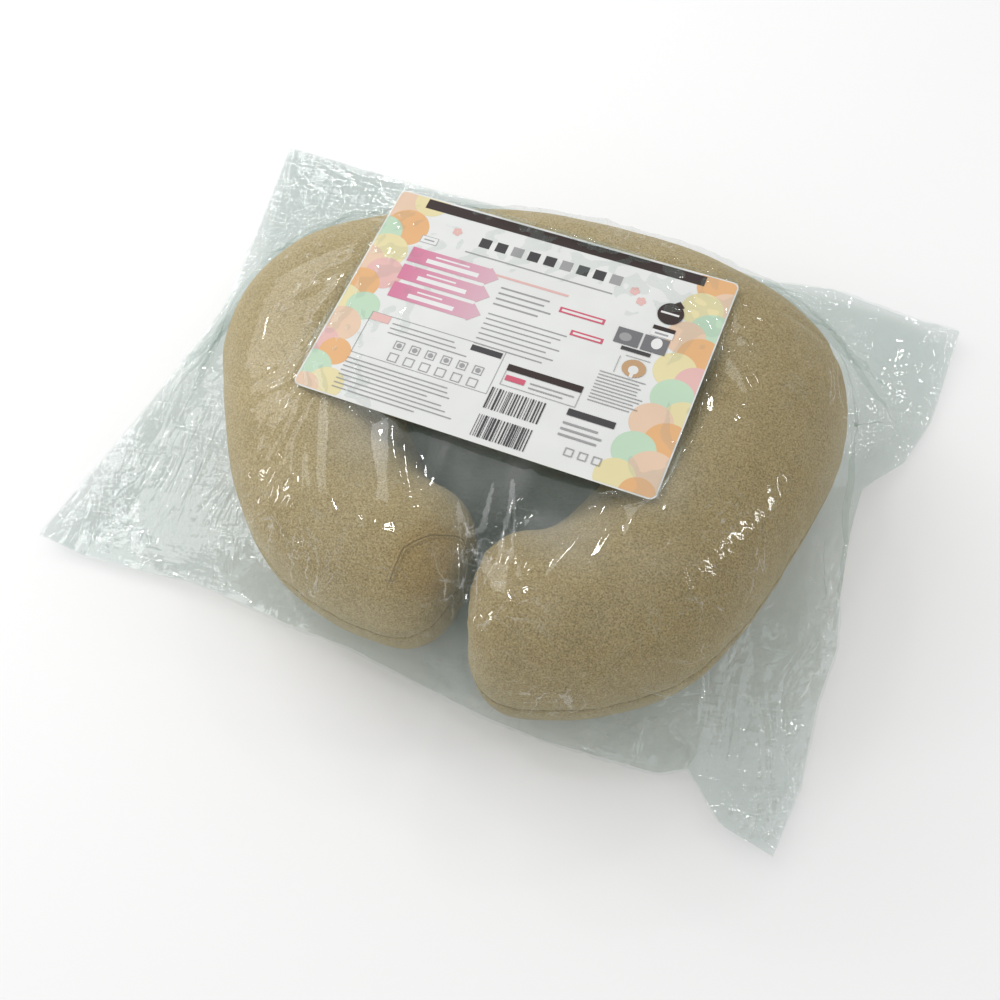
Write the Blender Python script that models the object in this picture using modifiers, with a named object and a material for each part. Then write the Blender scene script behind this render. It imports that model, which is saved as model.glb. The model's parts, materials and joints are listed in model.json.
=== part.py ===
"""A crescent nursing cushion, packed with a printed insert card in a clear film bag.

The cushion is a zipped pile cover, a top and a bottom panel, over an inner cushion of its own: a cased
filling. Its closed back faces +Y, the opening for the waist faces -Y, and the bag's underside lies on
z = 0. The row origin is on that underside, on the cushion's middle line. Sizes are in metres.
"""

import math

import bmesh
import bpy
from mathutils import Matrix, Vector

# The cushion in plan: its centre line is a chain of tangent arcs, from mid-back to the tip of a leg.
BACK_Y = 0.1255
BACK_RADIUS = 0.365
BACK_TURN = math.radians(20.5)
SHOULDER_RADIUS = 0.082
SHOULDER_TURN = math.radians(80.0)
SIDE_RADIUS = 0.320
SIDE_TURN = math.radians(22.5)
LEG_RADIUS = 0.122
MOUTH_GAP = 0.012

# Half widths of the cushion along that line, and its section. Inside the shoulder's bend the waist
# opening has a corner of its own radius, which sets the half width there.
BACK_HALF_WIDTH = 0.075
SHOULDER_HALF_WIDTH = 0.089
SHOULDER_CORNER_RADIUS = 0.016
SIDE_HALF_WIDTH = 0.0785
LEG_HALF_WIDTH = 0.080
TIP_HALF_WIDTH = 0.068
TIP_LENGTH = 0.044
TIP_BLUNTNESS = 0.7
CUSHION_HEIGHT = 0.160
SECTION_POWER = 2.3
LEG_SET = 0.016
LEG_SET_LENGTH = 0.150

# Walls, from the cover inwards.
COVER_WALL = 0.0020
CASE_WALL = 0.0010
FILLING_GAP = 0.0020
FITTING_GAP = 0.0003

# The zip in the outer seam of the back. Its parts are concentric with the back's outer wall.
ZIP_END_MARGIN = 0.020
ZIP_SLOT = 0.012
ZIP_POST_GAP = 0.0012
TAPE_WIDTH = 0.0110
TAPE_THICKNESS = 0.0006
TAPE_BEHIND_COVER = 0.0012
TEETH_WIDTH = 0.0022
TEETH_THICKNESS = 0.0016
SLIDER_LENGTH = 0.0090
SLIDER_PLATE = 0.0012
SLIDER_INNER_PLATE = 0.0010
SLIDER_FLANGE = 0.0010
SLIDER_GAP = 0.0004
POST_LENGTH = 0.0025
POST_WIDTH = 0.0006
BRIDGE_WIDTH = 0.0018
BRIDGE_BAR = 0.0010
PULL_THICKNESS = 0.0010
PULL_LENGTH = 0.0150
PULL_WIDTH = 0.0056
PULL_EYE_ARM = 0.0012
PULL_CLEARANCE = 0.0003
STOP_LENGTH = 0.0030
STOP_GAP = 0.0005

# The care label, sewn into the outer seam at the side of the left leg.
LABEL_WIDTH = 0.030
LABEL_DROP = math.radians(42.0)
LABEL_THICKNESS = 0.0006
LABEL_STAND_OFF = 0.0006

# The insert card on top of the cushion.
CARD_LENGTH = 0.297
CARD_DEPTH = 0.210
CARD_THICKNESS = 0.0005
CARD_CORNER = 0.006
CARD_X = -0.005
CARD_Y = 0.0345
CARD_TURN = math.radians(-7.9)

# The bag: its edges are these margins outside the filled part of its front film.
FILM_THICKNESS = 0.0004
FILM_CLEARANCE = 0.004
FILM_OVER_CARD = 0.004
FILM_PULL_MARGIN = 0.002
FILM_ROOM_FADE = 0.050
FILM_POWER = 8.0
FILM_FOOT_SHARE = 0.35
FILM_FOOT_RISE = 0.0006
BAG_TURN = math.radians(-9.5)
BAG_MARGIN_LEFT = 0.097
BAG_MARGIN_RIGHT = 0.045
BAG_MARGIN_FRONT = 0.006
BAG_MARGIN_BACK = 0.044

# Facets.
BACK_SPANS = 4
SHOULDER_SPANS = 4
SIDE_SPANS = 3
LEG_SPANS = 3
TIP_SPANS = 4
PANEL_SPANS = 7
ZIP_SPANS = 16
FILM_TIP_LIMIT = math.radians(35.0)
FILM_PROFILE = (0.0, 0.5, 0.8, 0.93, 1.0)

FLOOR_GAP = FILM_THICKNESS + FITTING_GAP
MIDDLE_Z = FLOOR_GAP + FITTING_GAP / 2 + CUSHION_HEIGHT / 2
CUSHION_TOP = MIDDLE_Z + FITTING_GAP / 2 + CUSHION_HEIGHT / 2
WALL_RADIUS = BACK_RADIUS + BACK_HALF_WIDTH
BACK_CENTRE_Y = BACK_Y - BACK_RADIUS
ZIP_HALF_ANGLE = BACK_TURN - ZIP_END_MARGIN / WALL_RADIUS
TAPE_RADIUS = WALL_RADIUS - COVER_WALL - TAPE_BEHIND_COVER
TEETH_RADIUS = TAPE_RADIUS + FITTING_GAP + TEETH_THICKNESS
PLATE_RADIUS = TEETH_RADIUS + FITTING_GAP
SLIDER_TOP_RADIUS = PLATE_RADIUS + SLIDER_PLATE
PULL_AXIS_RADIUS = SLIDER_TOP_RADIUS + PULL_CLEARANCE + PULL_THICKNESS / 2
FILM_PULL_ROOM = PULL_AXIS_RADIUS + PULL_LENGTH + FILM_PULL_MARGIN - WALL_RADIUS - FILM_CLEARANCE
INNER_PLATE_RADIUS = TAPE_RADIUS - TAPE_THICKNESS - SLIDER_GAP
CASE_INSET = WALL_RADIUS - INNER_PLATE_RADIUS + SLIDER_INNER_PLATE + FITTING_GAP
FILLING_INSET = CASE_INSET + CASE_WALL + FILLING_GAP
SLIDER_ANGLE = ZIP_HALF_ANGLE - (STOP_LENGTH + STOP_GAP + SLIDER_LENGTH / 2) / WALL_RADIUS

COLLECTION = "nursing_cushion"
CUTTERS = "cushion_cutters"

COLOURS = {
    "pile": ((0.46, 0.38, 0.24, 1.0), 0.95, 0.0),
    "lining": ((0.80, 0.79, 0.76, 1.0), 0.90, 0.0),
    "fibre": ((0.90, 0.90, 0.88, 1.0), 0.95, 0.0),
    "tape": ((0.52, 0.44, 0.31, 1.0), 0.85, 0.0),
    "nylon": ((0.55, 0.47, 0.33, 1.0), 0.45, 0.0),
    "metal": ((0.62, 0.60, 0.55, 1.0), 0.35, 0.9),
    "satin": ((0.92, 0.91, 0.88, 1.0), 0.60, 0.0),
    "card": ((0.90, 0.91, 0.89, 1.0), 0.40, 0.0),
    "film": ((0.80, 0.84, 0.82, 0.35), 0.10, 0.0),
}


class Station:
    """One cross-section of the cushion: where it stands on the centre line, and how big it is."""

    def __init__(self, side, distance, tip_angle=0.0):
        self.side = side
        self.distance = distance
        self.tip_angle = tip_angle
        self.base, self.heading = centre_line(distance)
        self.outer_width = eased_width(distance, SHOULDER_HALF_WIDTH)
        self.inner_width = eased_width(distance, SHOULDER_RADIUS - SHOULDER_CORNER_RADIUS)

    def point(self, out, up, inset=0.0):
        """A point of the section, out and up being shares of its half width and half height."""
        shrink = max(math.cos(self.tip_angle), 0.0) ** TIP_BLUNTNESS
        reach = (TIP_LENGTH - inset) * math.sin(self.tip_angle)
        along = Vector((math.cos(self.heading), math.sin(self.heading)))
        outward = Vector((-along.y, along.x))
        width = self.outer_width if out > 0.0 else self.inner_width
        place = self.base + along * reach + outward * out * shrink * (width - inset)
        rise = up * shrink * (CUSHION_HEIGHT / 2 - inset)
        settle = -self.side * LEG_SET * min(max(-place.y / LEG_SET_LENGTH, 0.0), 1.0)
        return Vector((self.side * place.x, place.y + settle, MIDDLE_Z + rise))


def arcs():
    """The centre line's arcs before the leg's, each a radius and a turn."""
    return (
        (BACK_RADIUS, BACK_TURN),
        (SHOULDER_RADIUS, SHOULDER_TURN),
        (SIDE_RADIUS, SIDE_TURN),
    )


def along_arc(start, heading, radius, turn):
    """The end and heading of an arc that turns clockwise from a start."""
    centre = start + radius * Vector((math.sin(heading), -math.cos(heading)))
    end_heading = heading - turn
    return centre + radius * Vector((-math.sin(end_heading), math.cos(end_heading))), end_heading


def leg_start():
    """Where the leg's own arc begins, its heading, and how far along the centre line that is."""
    place, heading, length = Vector((0.0, BACK_Y)), 0.0, 0.0
    for radius, turn in arcs():
        place, heading = along_arc(place, heading, radius, turn)
        length += radius * turn
    return place, heading, length


def leg_turn():
    """The turn of the leg's arc that leaves half the mouth gap between its tip and the middle plane."""
    start, heading, _ = leg_start()
    low = 0.0
    high = 1.5 * math.pi + heading
    for _ in range(40):
        turn = (low + high) / 2
        end, end_heading = along_arc(start, heading, LEG_RADIUS, turn)
        reach = math.hypot(TIP_LENGTH * math.cos(end_heading), TIP_HALF_WIDTH * math.sin(end_heading))
        if end.x - reach > MOUTH_GAP / 2:
            low = turn
        else:
            high = turn
    return low


LEG_TURN = leg_turn()
LEG_DISTANCE = leg_start()[2]
TIP_DISTANCE = LEG_DISTANCE + LEG_RADIUS * LEG_TURN


def centre_line(distance):
    """The point and heading at a distance along the right half's centre line."""
    place, heading, left = Vector((0.0, BACK_Y)), 0.0, distance
    for radius, turn in (*arcs(), (LEG_RADIUS, LEG_TURN)):
        here = min(left / radius, turn)
        place, heading = along_arc(place, heading, radius, here)
        left -= here * radius
    return place, heading


def eased_width(distance, shoulder_width):
    """The half width at a distance, eased between the named widths and the shoulder's."""
    back_end = BACK_RADIUS * BACK_TURN
    side_start = back_end + SHOULDER_RADIUS * SHOULDER_TURN
    keys = (
        (0.0, BACK_HALF_WIDTH),
        (back_end, BACK_HALF_WIDTH),
        ((back_end + side_start) / 2, shoulder_width),
        ((side_start + LEG_DISTANCE) / 2, SIDE_HALF_WIDTH),
        (LEG_DISTANCE, LEG_HALF_WIDTH),
        (TIP_DISTANCE, TIP_HALF_WIDTH),
    )
    for (start, first), (end, last) in zip(keys, keys[1:]):
        if distance <= end:
            share = max(distance - start, 0.0) / (end - start)
            return first + (last - first) * share * share * (3.0 - 2.0 * share)
    return TIP_HALF_WIDTH


def spread(start, end, spans):
    """The ends of equal spans, without the first."""
    return [start + (end - start) * (index + 1) / spans for index in range(spans)]


def half_stations(side):
    """The stations of one half, from mid-back to the tip."""
    zip_end = BACK_RADIUS * ZIP_HALF_ANGLE
    back_end = BACK_RADIUS * BACK_TURN
    side_start = back_end + SHOULDER_RADIUS * SHOULDER_TURN
    distances = [0.0, *spread(0.0, zip_end, BACK_SPANS), back_end]
    distances += spread(back_end, side_start, SHOULDER_SPANS)
    distances += spread(side_start, LEG_DISTANCE, SIDE_SPANS)
    distances += spread(LEG_DISTANCE, TIP_DISTANCE, LEG_SPANS)
    tips = spread(0.0, math.pi / 2, TIP_SPANS)
    return [Station(side, distance) for distance in distances] + [
        Station(side, TIP_DISTANCE, angle) for angle in tips
    ]


def all_stations():
    """Every station, from the left tip round the back to the right tip."""
    return half_stations(-1)[:0:-1] + half_stations(1)


def section(angle):
    """The share of half width and half height at an angle round the section."""
    across, up = math.cos(angle), math.sin(angle)
    power = 2.0 / SECTION_POWER
    return (
        math.copysign(math.fabs(across) ** power, across),
        math.copysign(math.fabs(up) ** power, up),
    )


def parts_collection(name):
    """The collection of a name, made and linked when it is new."""
    found = bpy.data.collections.get(name)
    if found is None:
        found = bpy.data.collections.new(name)
        bpy.context.scene.collection.children.link(found)
    return found


def material(name):
    """A Principled material in one of the named colours."""
    found = bpy.data.materials.get(name)
    if found is None:
        colour, roughness, metallic = COLOURS[name]
        found = bpy.data.materials.new(name)
        found.use_nodes = True
        shader = found.node_tree.nodes["Principled BSDF"]
        shader.inputs["Base Color"].default_value = colour
        shader.inputs["Roughness"].default_value = roughness
        shader.inputs["Metallic"].default_value = metallic
        shader.inputs["Alpha"].default_value = colour[3]
    return found


def new_object(name, bm, finish, collection=COLLECTION, smooth=True):
    """An object from a bmesh, with its finish, in a collection."""
    mesh = bpy.data.meshes.new(name)
    bm.to_mesh(mesh)
    bm.free()
    if smooth:
        mesh.shade_smooth()
        mesh.set_sharp_from_angle(angle=math.radians(40.0))
    obj = bpy.data.objects.new(name, mesh)
    obj.data.materials.append(material(finish))
    parts_collection(collection).objects.link(obj)
    return obj


def loft(name, rings, finish):
    """A closed solid through rings of matching points; a ring may shrink to a point."""
    bm = bmesh.new()
    loops = [[bm.verts.new(point) for point in ring] for ring in rings]
    for near, far in zip(loops, loops[1:]):
        for index in range(len(near)):
            after = (index + 1) % len(near)
            bm.faces.new((near[index], near[after], far[after], far[index]))
    bm.faces.new(loops[0])
    bm.faces.new(loops[-1])
    bmesh.ops.remove_doubles(bm, verts=bm.verts[:], dist=1e-5)
    bmesh.ops.recalc_face_normals(bm, faces=bm.faces[:])
    return new_object(name, bm, finish)


def height_angle(height, inset):
    """The angle of the section where it is this far above the seam line."""
    return math.asin((height / (CUSHION_HEIGHT / 2 - inset)) ** (SECTION_POWER / 2.0))


def upper_angles(station, inset):
    """The angles of a section's upper half, from rim to rim. Where the zip lies it starts off the seam."""
    in_zip = station.distance < BACK_RADIUS * ZIP_HALF_ANGLE + FITTING_GAP
    start = height_angle(ZIP_SLOT / 2, inset) if in_zip else 0.0
    shelf = height_angle(ZIP_POST_GAP / 2 + TAPE_WIDTH + FITTING_GAP, inset)
    return [start, shelf, *spread(shelf, math.pi, PANEL_SPANS)]


def panel_ring(station, facing, inset, wall):
    """One section of a panel: its outer face from rim to rim, and its inner face back."""
    ring = []
    for depth in (inset, inset + wall):
        face = [station.point(*section(angle), depth) for angle in upper_angles(station, depth)]
        ring += face if depth == inset else face[::-1]
    lift = facing * FITTING_GAP / 2
    for point in ring:
        point.z = MIDDLE_Z + facing * (point.z - MIDDLE_Z) + lift
    return ring


def panel(name, facing, inset, wall, finish):
    """A domed crescent panel, facing up (+1) or down (-1)."""
    return loft(name, [panel_ring(station, facing, inset, wall) for station in all_stations()], finish)


def filling():
    """The filling: one soft crescent inside the case."""
    rings = []
    for station in all_stations():
        upper = upper_angles(station, FILLING_INSET)
        angles = upper + [-angle for angle in upper[-2::-1]]
        rings.append([station.point(*section(angle), FILLING_INSET) for angle in angles])
    return loft("inner_filling", rings, "fibre")


def on_arc(radius, angle, z):
    """A point of the back's concentric arcs; the angle is measured from +Y, positive towards +X."""
    return Vector((radius * math.sin(angle), BACK_CENTRE_Y + radius * math.cos(angle), z))


def arc_bar(name, radii, heights, half_angle, finish):
    """A bar of rectangular section along the back's arc."""
    rings = []
    for index in range(ZIP_SPANS + 1):
        angle = half_angle * (2 * index / ZIP_SPANS - 1)
        rings.append(
            [
                on_arc(radii[0], angle, heights[0]),
                on_arc(radii[1], angle, heights[0]),
                on_arc(radii[1], angle, heights[1]),
                on_arc(radii[0], angle, heights[1]),
            ]
        )
    return loft(name, rings, finish)


def zip_row(side_name, up):
    """The tape and the teeth above (+1) or below (-1) the zip's middle."""
    near = MIDDLE_Z + up * ZIP_POST_GAP / 2
    tape = (near, near + up * TAPE_WIDTH)
    teeth = (near, near + up * TEETH_WIDTH)
    tape_radii = (TAPE_RADIUS - TAPE_THICKNESS, TAPE_RADIUS)
    teeth_radii = (TEETH_RADIUS - TEETH_THICKNESS, TEETH_RADIUS)
    teeth_angle = ZIP_HALF_ANGLE - STOP_LENGTH / WALL_RADIUS - STOP_GAP / WALL_RADIUS
    arc_bar(f"zip_{side_name}_tape", tape_radii, tape, ZIP_HALF_ANGLE, "tape")
    arc_bar(f"zip_{side_name}_teeth", teeth_radii, teeth, teeth_angle, "nylon")


def block(bm, low, high):
    """A box between two corners, added to a bmesh."""
    low, high = Vector(low), Vector(high)
    scale = Matrix.Diagonal((*(high - low), 1.0))
    bmesh.ops.create_cube(bm, size=1.0, matrix=Matrix.Translation((low + high) / 2) @ scale)


def arc_frame(angle):
    """The frame on the arc's axis whose X is along the zip and whose Y points out of the back."""
    return Matrix.Translation((0.0, BACK_CENTRE_Y, MIDDLE_Z)) @ Matrix.Rotation(-angle, 4, "Z")


def stop(name, angle, low, high):
    """A crimped stop at the teeth's end, between two heights."""
    bm = bmesh.new()
    low_radius = TAPE_RADIUS + FITTING_GAP
    block(bm, (-STOP_LENGTH / 2, low_radius, low), (STOP_LENGTH / 2, TEETH_RADIUS, high))
    obj = new_object(name, bm, "metal", smooth=False)
    obj.matrix_world = arc_frame(angle)
    return obj


def join_solids(obj, others):
    """Boolean unions of hidden solids onto an object."""
    for other in others:
        other.hide_render = True
        other.display_type = "WIRE"
        union = obj.modifiers.new(other.name, "BOOLEAN")
        union.operation = "UNION"
        union.solver = "EXACT"
        union.object = other


def solid_box(name, low, high):
    """A hidden box that a Boolean uses."""
    bm = bmesh.new()
    block(bm, low, high)
    return new_object(name, bm, "metal", CUTTERS, smooth=False)


def slider(carrier):
    """The zip's slider: two plates on a post, side flanges, and the bridge that holds the pull."""
    half = SLIDER_LENGTH / 2
    half_height = ZIP_POST_GAP / 2 + TEETH_WIDTH + SLIDER_GAP + SLIDER_FLANGE
    bm = bmesh.new()
    block(bm, (-half, PLATE_RADIUS, -half_height), (half, SLIDER_TOP_RADIUS, half_height))
    body = new_object("zip_slider", bm, "metal", smooth=False)
    joined = []
    flange_low = TAPE_RADIUS + SLIDER_GAP
    for up in (-1, 1):
        inner, outer = sorted((up * (half_height - SLIDER_FLANGE), up * half_height))
        corner = (-half, flange_low, inner)
        far = (half, PLATE_RADIUS + SLIDER_PLATE / 2, outer)
        joined.append(solid_box(f"slider_flange_{'low' if up < 0 else 'high'}", corner, far))
    inner_low = INNER_PLATE_RADIUS - SLIDER_INNER_PLATE
    joined.append(
        solid_box(
            "slider_post",
            (half - POST_LENGTH, inner_low + SLIDER_INNER_PLATE / 2, -POST_WIDTH / 2),
            (half - SLIDER_FLANGE / 2, PLATE_RADIUS + SLIDER_PLATE / 2, POST_WIDTH / 2),
        )
    )
    plate_low = (-half, inner_low, -half_height)
    joined.append(solid_box("slider_inner_plate", plate_low, (half, INNER_PLATE_RADIUS, half_height)))
    joined += bridge()
    join_solids(body, joined)
    for obj in (body, *joined):
        obj.parent = carrier
    return body


def bridge_reach():
    """Half the inner length of the bridge, and the height of its inner top over the pull's axis."""
    eye_bar_reach = PULL_THICKNESS / math.sqrt(2.0)
    return eye_bar_reach + 2 * PULL_CLEARANCE, eye_bar_reach + PULL_CLEARANCE


def bridge():
    """Two legs and a bar over the pull's eye."""
    inner, rise = bridge_reach()
    base = PLATE_RADIUS + SLIDER_PLATE / 2
    low, high = -BRIDGE_WIDTH / 2, BRIDGE_WIDTH / 2
    bar_low = PULL_AXIS_RADIUS + rise
    outer = inner + BRIDGE_BAR
    leg_top = bar_low + BRIDGE_BAR / 2
    pieces = [solid_box("bridge_bar", (-outer, bar_low, low), (outer, bar_low + BRIDGE_BAR, high))]
    for side, name in ((-1, "bridge_leg_back"), (1, "bridge_leg_front")):
        near, far = sorted((side * inner, side * outer))
        pieces.append(solid_box(name, (near, base, low), (far, leg_top, high)))
    return pieces


def pull_tab(carrier):
    """The pull: a flat tab whose eye has a bar under the bridge. It lies back over the teeth."""
    inner, rise = bridge_reach()
    bar = PULL_THICKNESS / 2
    bridge_corner = math.hypot(inner + BRIDGE_BAR, rise + BRIDGE_BAR)
    eye_half = BRIDGE_WIDTH / 2 + PULL_CLEARANCE
    eye_width = eye_half + PULL_EYE_ARM
    eye_end = bridge_corner + 2 * PULL_CLEARANCE
    side = [
        (-bar, eye_width),
        (eye_end, eye_width),
        (eye_end + PULL_EYE_ARM, PULL_WIDTH / 2),
        (PULL_LENGTH - PULL_WIDTH / 4, PULL_WIDTH / 2),
        (PULL_LENGTH, PULL_WIDTH / 4),
    ]
    outline = side + [(x, -y) for x, y in side[::-1]]
    window = [(bar, -eye_half), (bar, eye_half), (eye_end, eye_half), (eye_end, -eye_half)]
    curve = bpy.data.curves.new("zip_pull_tab", "CURVE")
    curve.dimensions = "2D"
    curve.fill_mode = "BOTH"
    curve.extrude = PULL_THICKNESS / 2
    for points in (outline, window):
        spline = curve.splines.new("POLY")
        spline.points.add(len(points) - 1)
        spline.use_cyclic_u = True
        for point, (x, y) in zip(spline.points, points):
            point.co = (x, y, 0.0, 1.0)
    obj = bpy.data.objects.new("zip_pull_tab", curve)
    curve.materials.append(material("metal"))
    parts_collection(COLLECTION).objects.link(obj)
    obj.parent = carrier
    obj.location = (0.0, PULL_AXIS_RADIUS, 0.0)
    obj.rotation_euler = (math.pi / 2, 0.0, math.pi)
    return obj


def care_label():
    """A folded label that hangs from the outer seam against the bottom panel."""
    back_end = BACK_RADIUS * BACK_TURN
    start = back_end + SHOULDER_RADIUS * SHOULDER_TURN
    first = height_angle(2 * FITTING_GAP, 0.0)
    rings = []
    for distance in (start, start + LABEL_WIDTH / 2, start + LABEL_WIDTH):
        station = Station(-1, distance)
        ring = []
        for inset in (-LABEL_STAND_OFF, -LABEL_STAND_OFF - LABEL_THICKNESS):
            angles = [-first, *spread(-first, -LABEL_DROP, 4)]
            face = [station.point(*section(angle), inset) for angle in angles]
            ring += face if inset == -LABEL_STAND_OFF else face[::-1]
        rings.append(ring)
    return loft("care_label", rings, "satin")


def insert_card():
    """The card, with rounded corners, flat on the cushion's top."""
    bm = bmesh.new()
    corner = Vector((CARD_LENGTH, CARD_DEPTH, CARD_THICKNESS)) / 2
    block(bm, -corner, corner)
    uprights = [edge for edge in bm.edges if edge.verts[0].co.z * edge.verts[1].co.z < 0.0]
    bmesh.ops.bevel(bm, geom=uprights, offset=CARD_CORNER, segments=4, profile=0.5, affect="EDGES")
    obj = new_object("insert_card", bm, "card", smooth=False)
    obj.location = (CARD_X, CARD_Y, CUSHION_TOP + FITTING_GAP + CARD_THICKNESS / 2)
    obj.rotation_euler.z = CARD_TURN
    return obj


def film_room(station):
    """How far the front film stands off the cushion's outer wall: wider where the zip's pull swings."""
    zip_end = BACK_RADIUS * ZIP_HALF_ANGLE
    fade = min(max((station.distance - zip_end) / FILM_ROOM_FADE, 0.0), 1.0)
    return FILM_CLEARANCE + FILM_PULL_ROOM * (1.0 - fade)


def film_point(station, out):
    """A point of the front film over the cushion's outer half, out being a share of its width."""
    room = film_room(station)
    place = station.point(0.0, 0.0, -room)
    wall = station.point(1.0, 0.0, -room)
    top = CUSHION_TOP + FITTING_GAP + CARD_THICKNESS + FILM_OVER_CARD
    rise = (1.0 - out**FILM_POWER) ** (1.0 / FILM_POWER)
    point = place.lerp(wall, out)
    point.z = MIDDLE_Z + (top - MIDDLE_Z) * rise
    return point


def bag_corners(wall):
    """The bag's rectangle, round the filled part of its front film, clockwise from back left."""
    turn = Matrix.Rotation(BAG_TURN, 4, "Z")
    local = [turn.inverted() @ point for point in wall]
    left = min(point.x for point in local) - BAG_MARGIN_LEFT
    right = max(point.x for point in local) + BAG_MARGIN_RIGHT
    front = min(point.y for point in local) - BAG_MARGIN_FRONT
    back = max(point.y for point in local) + BAG_MARGIN_BACK
    local_corners = ((left, back), (right, back), (right, front), (left, front))
    return [turn @ Vector((x, y, 0.0)) for x, y in local_corners]


def edge_loop(wall, corners):
    """A point of the bag's edge for each point of the film's wall, with the corners among them."""
    centre = sum(corners, Vector()) / len(corners)
    edge = []
    for point in wall:
        ray = point - centre
        ray.z = 0.0
        reach = math.inf
        for start, end in zip(corners, corners[1:] + corners[:1]):
            side = end - start
            outward = Vector((-side.y, side.x, 0.0))
            if ray.dot(outward) > 0.0:
                reach = min(reach, (start - centre).dot(outward) / ray.dot(outward))
        edge.append(centre + ray * reach)
    for corner in corners:
        near = min(range(len(edge)), key=lambda index: (edge[index] - corner).length)
        edge[near] = corner.copy()
    return edge


def bag():
    """The bag's two films: the front one drapes over the cushion, the back one lies flat."""
    stations = [station for station in all_stations() if station.tip_angle <= FILM_TIP_LIMIT]
    loops = [[film_point(station, out) for station in stations] for out in FILM_PROFILE]
    wall = loops[-1]
    corners = bag_corners(wall)
    edge = edge_loop(wall, corners)
    flange_z = FILM_THICKNESS + FITTING_GAP
    foot = []
    for near, far in zip(wall, edge):
        point = near.lerp(far, FILM_FOOT_SHARE)
        point.z = flange_z + FILM_FOOT_RISE
        foot.append(point)
    loops += [foot, [Vector((point.x, point.y, flange_z)) for point in edge]]
    bm = bmesh.new()
    rings = [[bm.verts.new(point) for point in loop] for loop in loops]
    bm.faces.new(rings[0][::-1])
    for near, far in zip(rings, rings[1:]):
        for index in range(len(near)):
            after = (index + 1) % len(near)
            bm.faces.new((near[index], near[after], far[after], far[index]))
    bmesh.ops.recalc_face_normals(bm, faces=bm.faces[:])
    front = new_object("bag_front_film", bm, "film")
    wall_maker = front.modifiers.new("film_thickness", "SOLIDIFY")
    wall_maker.thickness = FILM_THICKNESS
    wall_maker.offset = 1.0
    bm = bmesh.new()
    sheet = bm.faces.new([bm.verts.new(corner) for corner in corners])
    raised = bmesh.ops.extrude_face_region(bm, geom=[sheet])
    moved = [item for item in raised["geom"] if isinstance(item, bmesh.types.BMVert)]
    bmesh.ops.translate(bm, verts=moved, vec=(0.0, 0.0, FILM_THICKNESS))
    bmesh.ops.recalc_face_normals(bm, faces=bm.faces[:])
    new_object("bag_back_film", bm, "film", smooth=False)


def empty(name, matrix):
    """An empty that carries a moving piece on its joint's axis."""
    carrier = bpy.data.objects.new(name, None)
    carrier.matrix_world = matrix
    parts_collection(COLLECTION).objects.link(carrier)
    return carrier


def zip_fastener():
    """The zip: tapes, teeth, stops, and the slider with its pull at the closed end."""
    zip_row("upper", 1)
    zip_row("lower", -1)
    low = ZIP_POST_GAP / 2
    high = low + TEETH_WIDTH
    stop_angle = ZIP_HALF_ANGLE - STOP_LENGTH / 2 / WALL_RADIUS
    stop("zip_upper_top_stop", stop_angle, low, high)
    stop("zip_lower_top_stop", stop_angle, -high, -low)
    stop("zip_bottom_stop", -stop_angle, -high, high)
    carrier = empty("zip_arc_axis", arc_frame(SLIDER_ANGLE))
    slider(carrier)
    pull_tab(carrier)


def main():
    """Builds every piece of the cushion and its packing."""
    for obj in list(bpy.data.objects):
        bpy.data.objects.remove(obj, do_unlink=True)
    panel("cover_top_panel", 1, 0.0, COVER_WALL, "pile")
    panel("cover_bottom_panel", -1, 0.0, COVER_WALL, "pile")
    panel("inner_case_top_panel", 1, CASE_INSET, CASE_WALL, "lining")
    panel("inner_case_bottom_panel", -1, CASE_INSET, CASE_WALL, "lining")
    filling()
    zip_fastener()
    care_label()
    insert_card()
    bag()


main()
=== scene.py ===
"""A crescent nursing cushion with its printed card, packed flat in a clear crinkled film bag.

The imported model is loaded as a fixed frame. The soft pieces, the zip, the card and the films are then
made around it, in metres, in the row frame: +Y towards the closed back, +Z up from the floor.
"""

from __future__ import annotations

import json
import logging
import math
import random
from dataclasses import dataclass
from enum import Enum
from typing import Iterable, Sequence

import bmesh
import bpy
import numpy as np
from mathutils import Matrix, Vector, noise

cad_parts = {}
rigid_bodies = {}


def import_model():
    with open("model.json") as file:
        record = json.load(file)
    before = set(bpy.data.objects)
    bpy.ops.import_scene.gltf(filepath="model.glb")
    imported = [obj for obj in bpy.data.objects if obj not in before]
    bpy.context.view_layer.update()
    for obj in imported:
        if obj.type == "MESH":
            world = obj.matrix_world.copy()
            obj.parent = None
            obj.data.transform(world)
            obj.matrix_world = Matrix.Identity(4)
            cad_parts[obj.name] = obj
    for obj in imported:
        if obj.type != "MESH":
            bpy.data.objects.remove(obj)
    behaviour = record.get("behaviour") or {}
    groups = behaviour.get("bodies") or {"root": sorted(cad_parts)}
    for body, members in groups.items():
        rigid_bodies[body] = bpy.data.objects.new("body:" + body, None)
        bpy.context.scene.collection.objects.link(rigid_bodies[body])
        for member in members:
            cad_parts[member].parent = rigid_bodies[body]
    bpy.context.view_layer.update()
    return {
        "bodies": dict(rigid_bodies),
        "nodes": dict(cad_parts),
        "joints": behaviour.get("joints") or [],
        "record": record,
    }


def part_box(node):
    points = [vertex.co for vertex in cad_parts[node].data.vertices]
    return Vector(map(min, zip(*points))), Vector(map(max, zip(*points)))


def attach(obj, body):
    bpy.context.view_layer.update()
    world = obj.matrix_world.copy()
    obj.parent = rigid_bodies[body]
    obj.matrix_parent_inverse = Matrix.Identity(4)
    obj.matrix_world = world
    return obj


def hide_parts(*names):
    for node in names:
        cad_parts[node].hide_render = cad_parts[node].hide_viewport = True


LOG = logging.getLogger("nursing_cushion")
Colour = tuple[float, float, float]
Socket = bpy.types.NodeSocket
Point = tuple[float, float, float]
PlanPoint = tuple[float, float]


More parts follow.
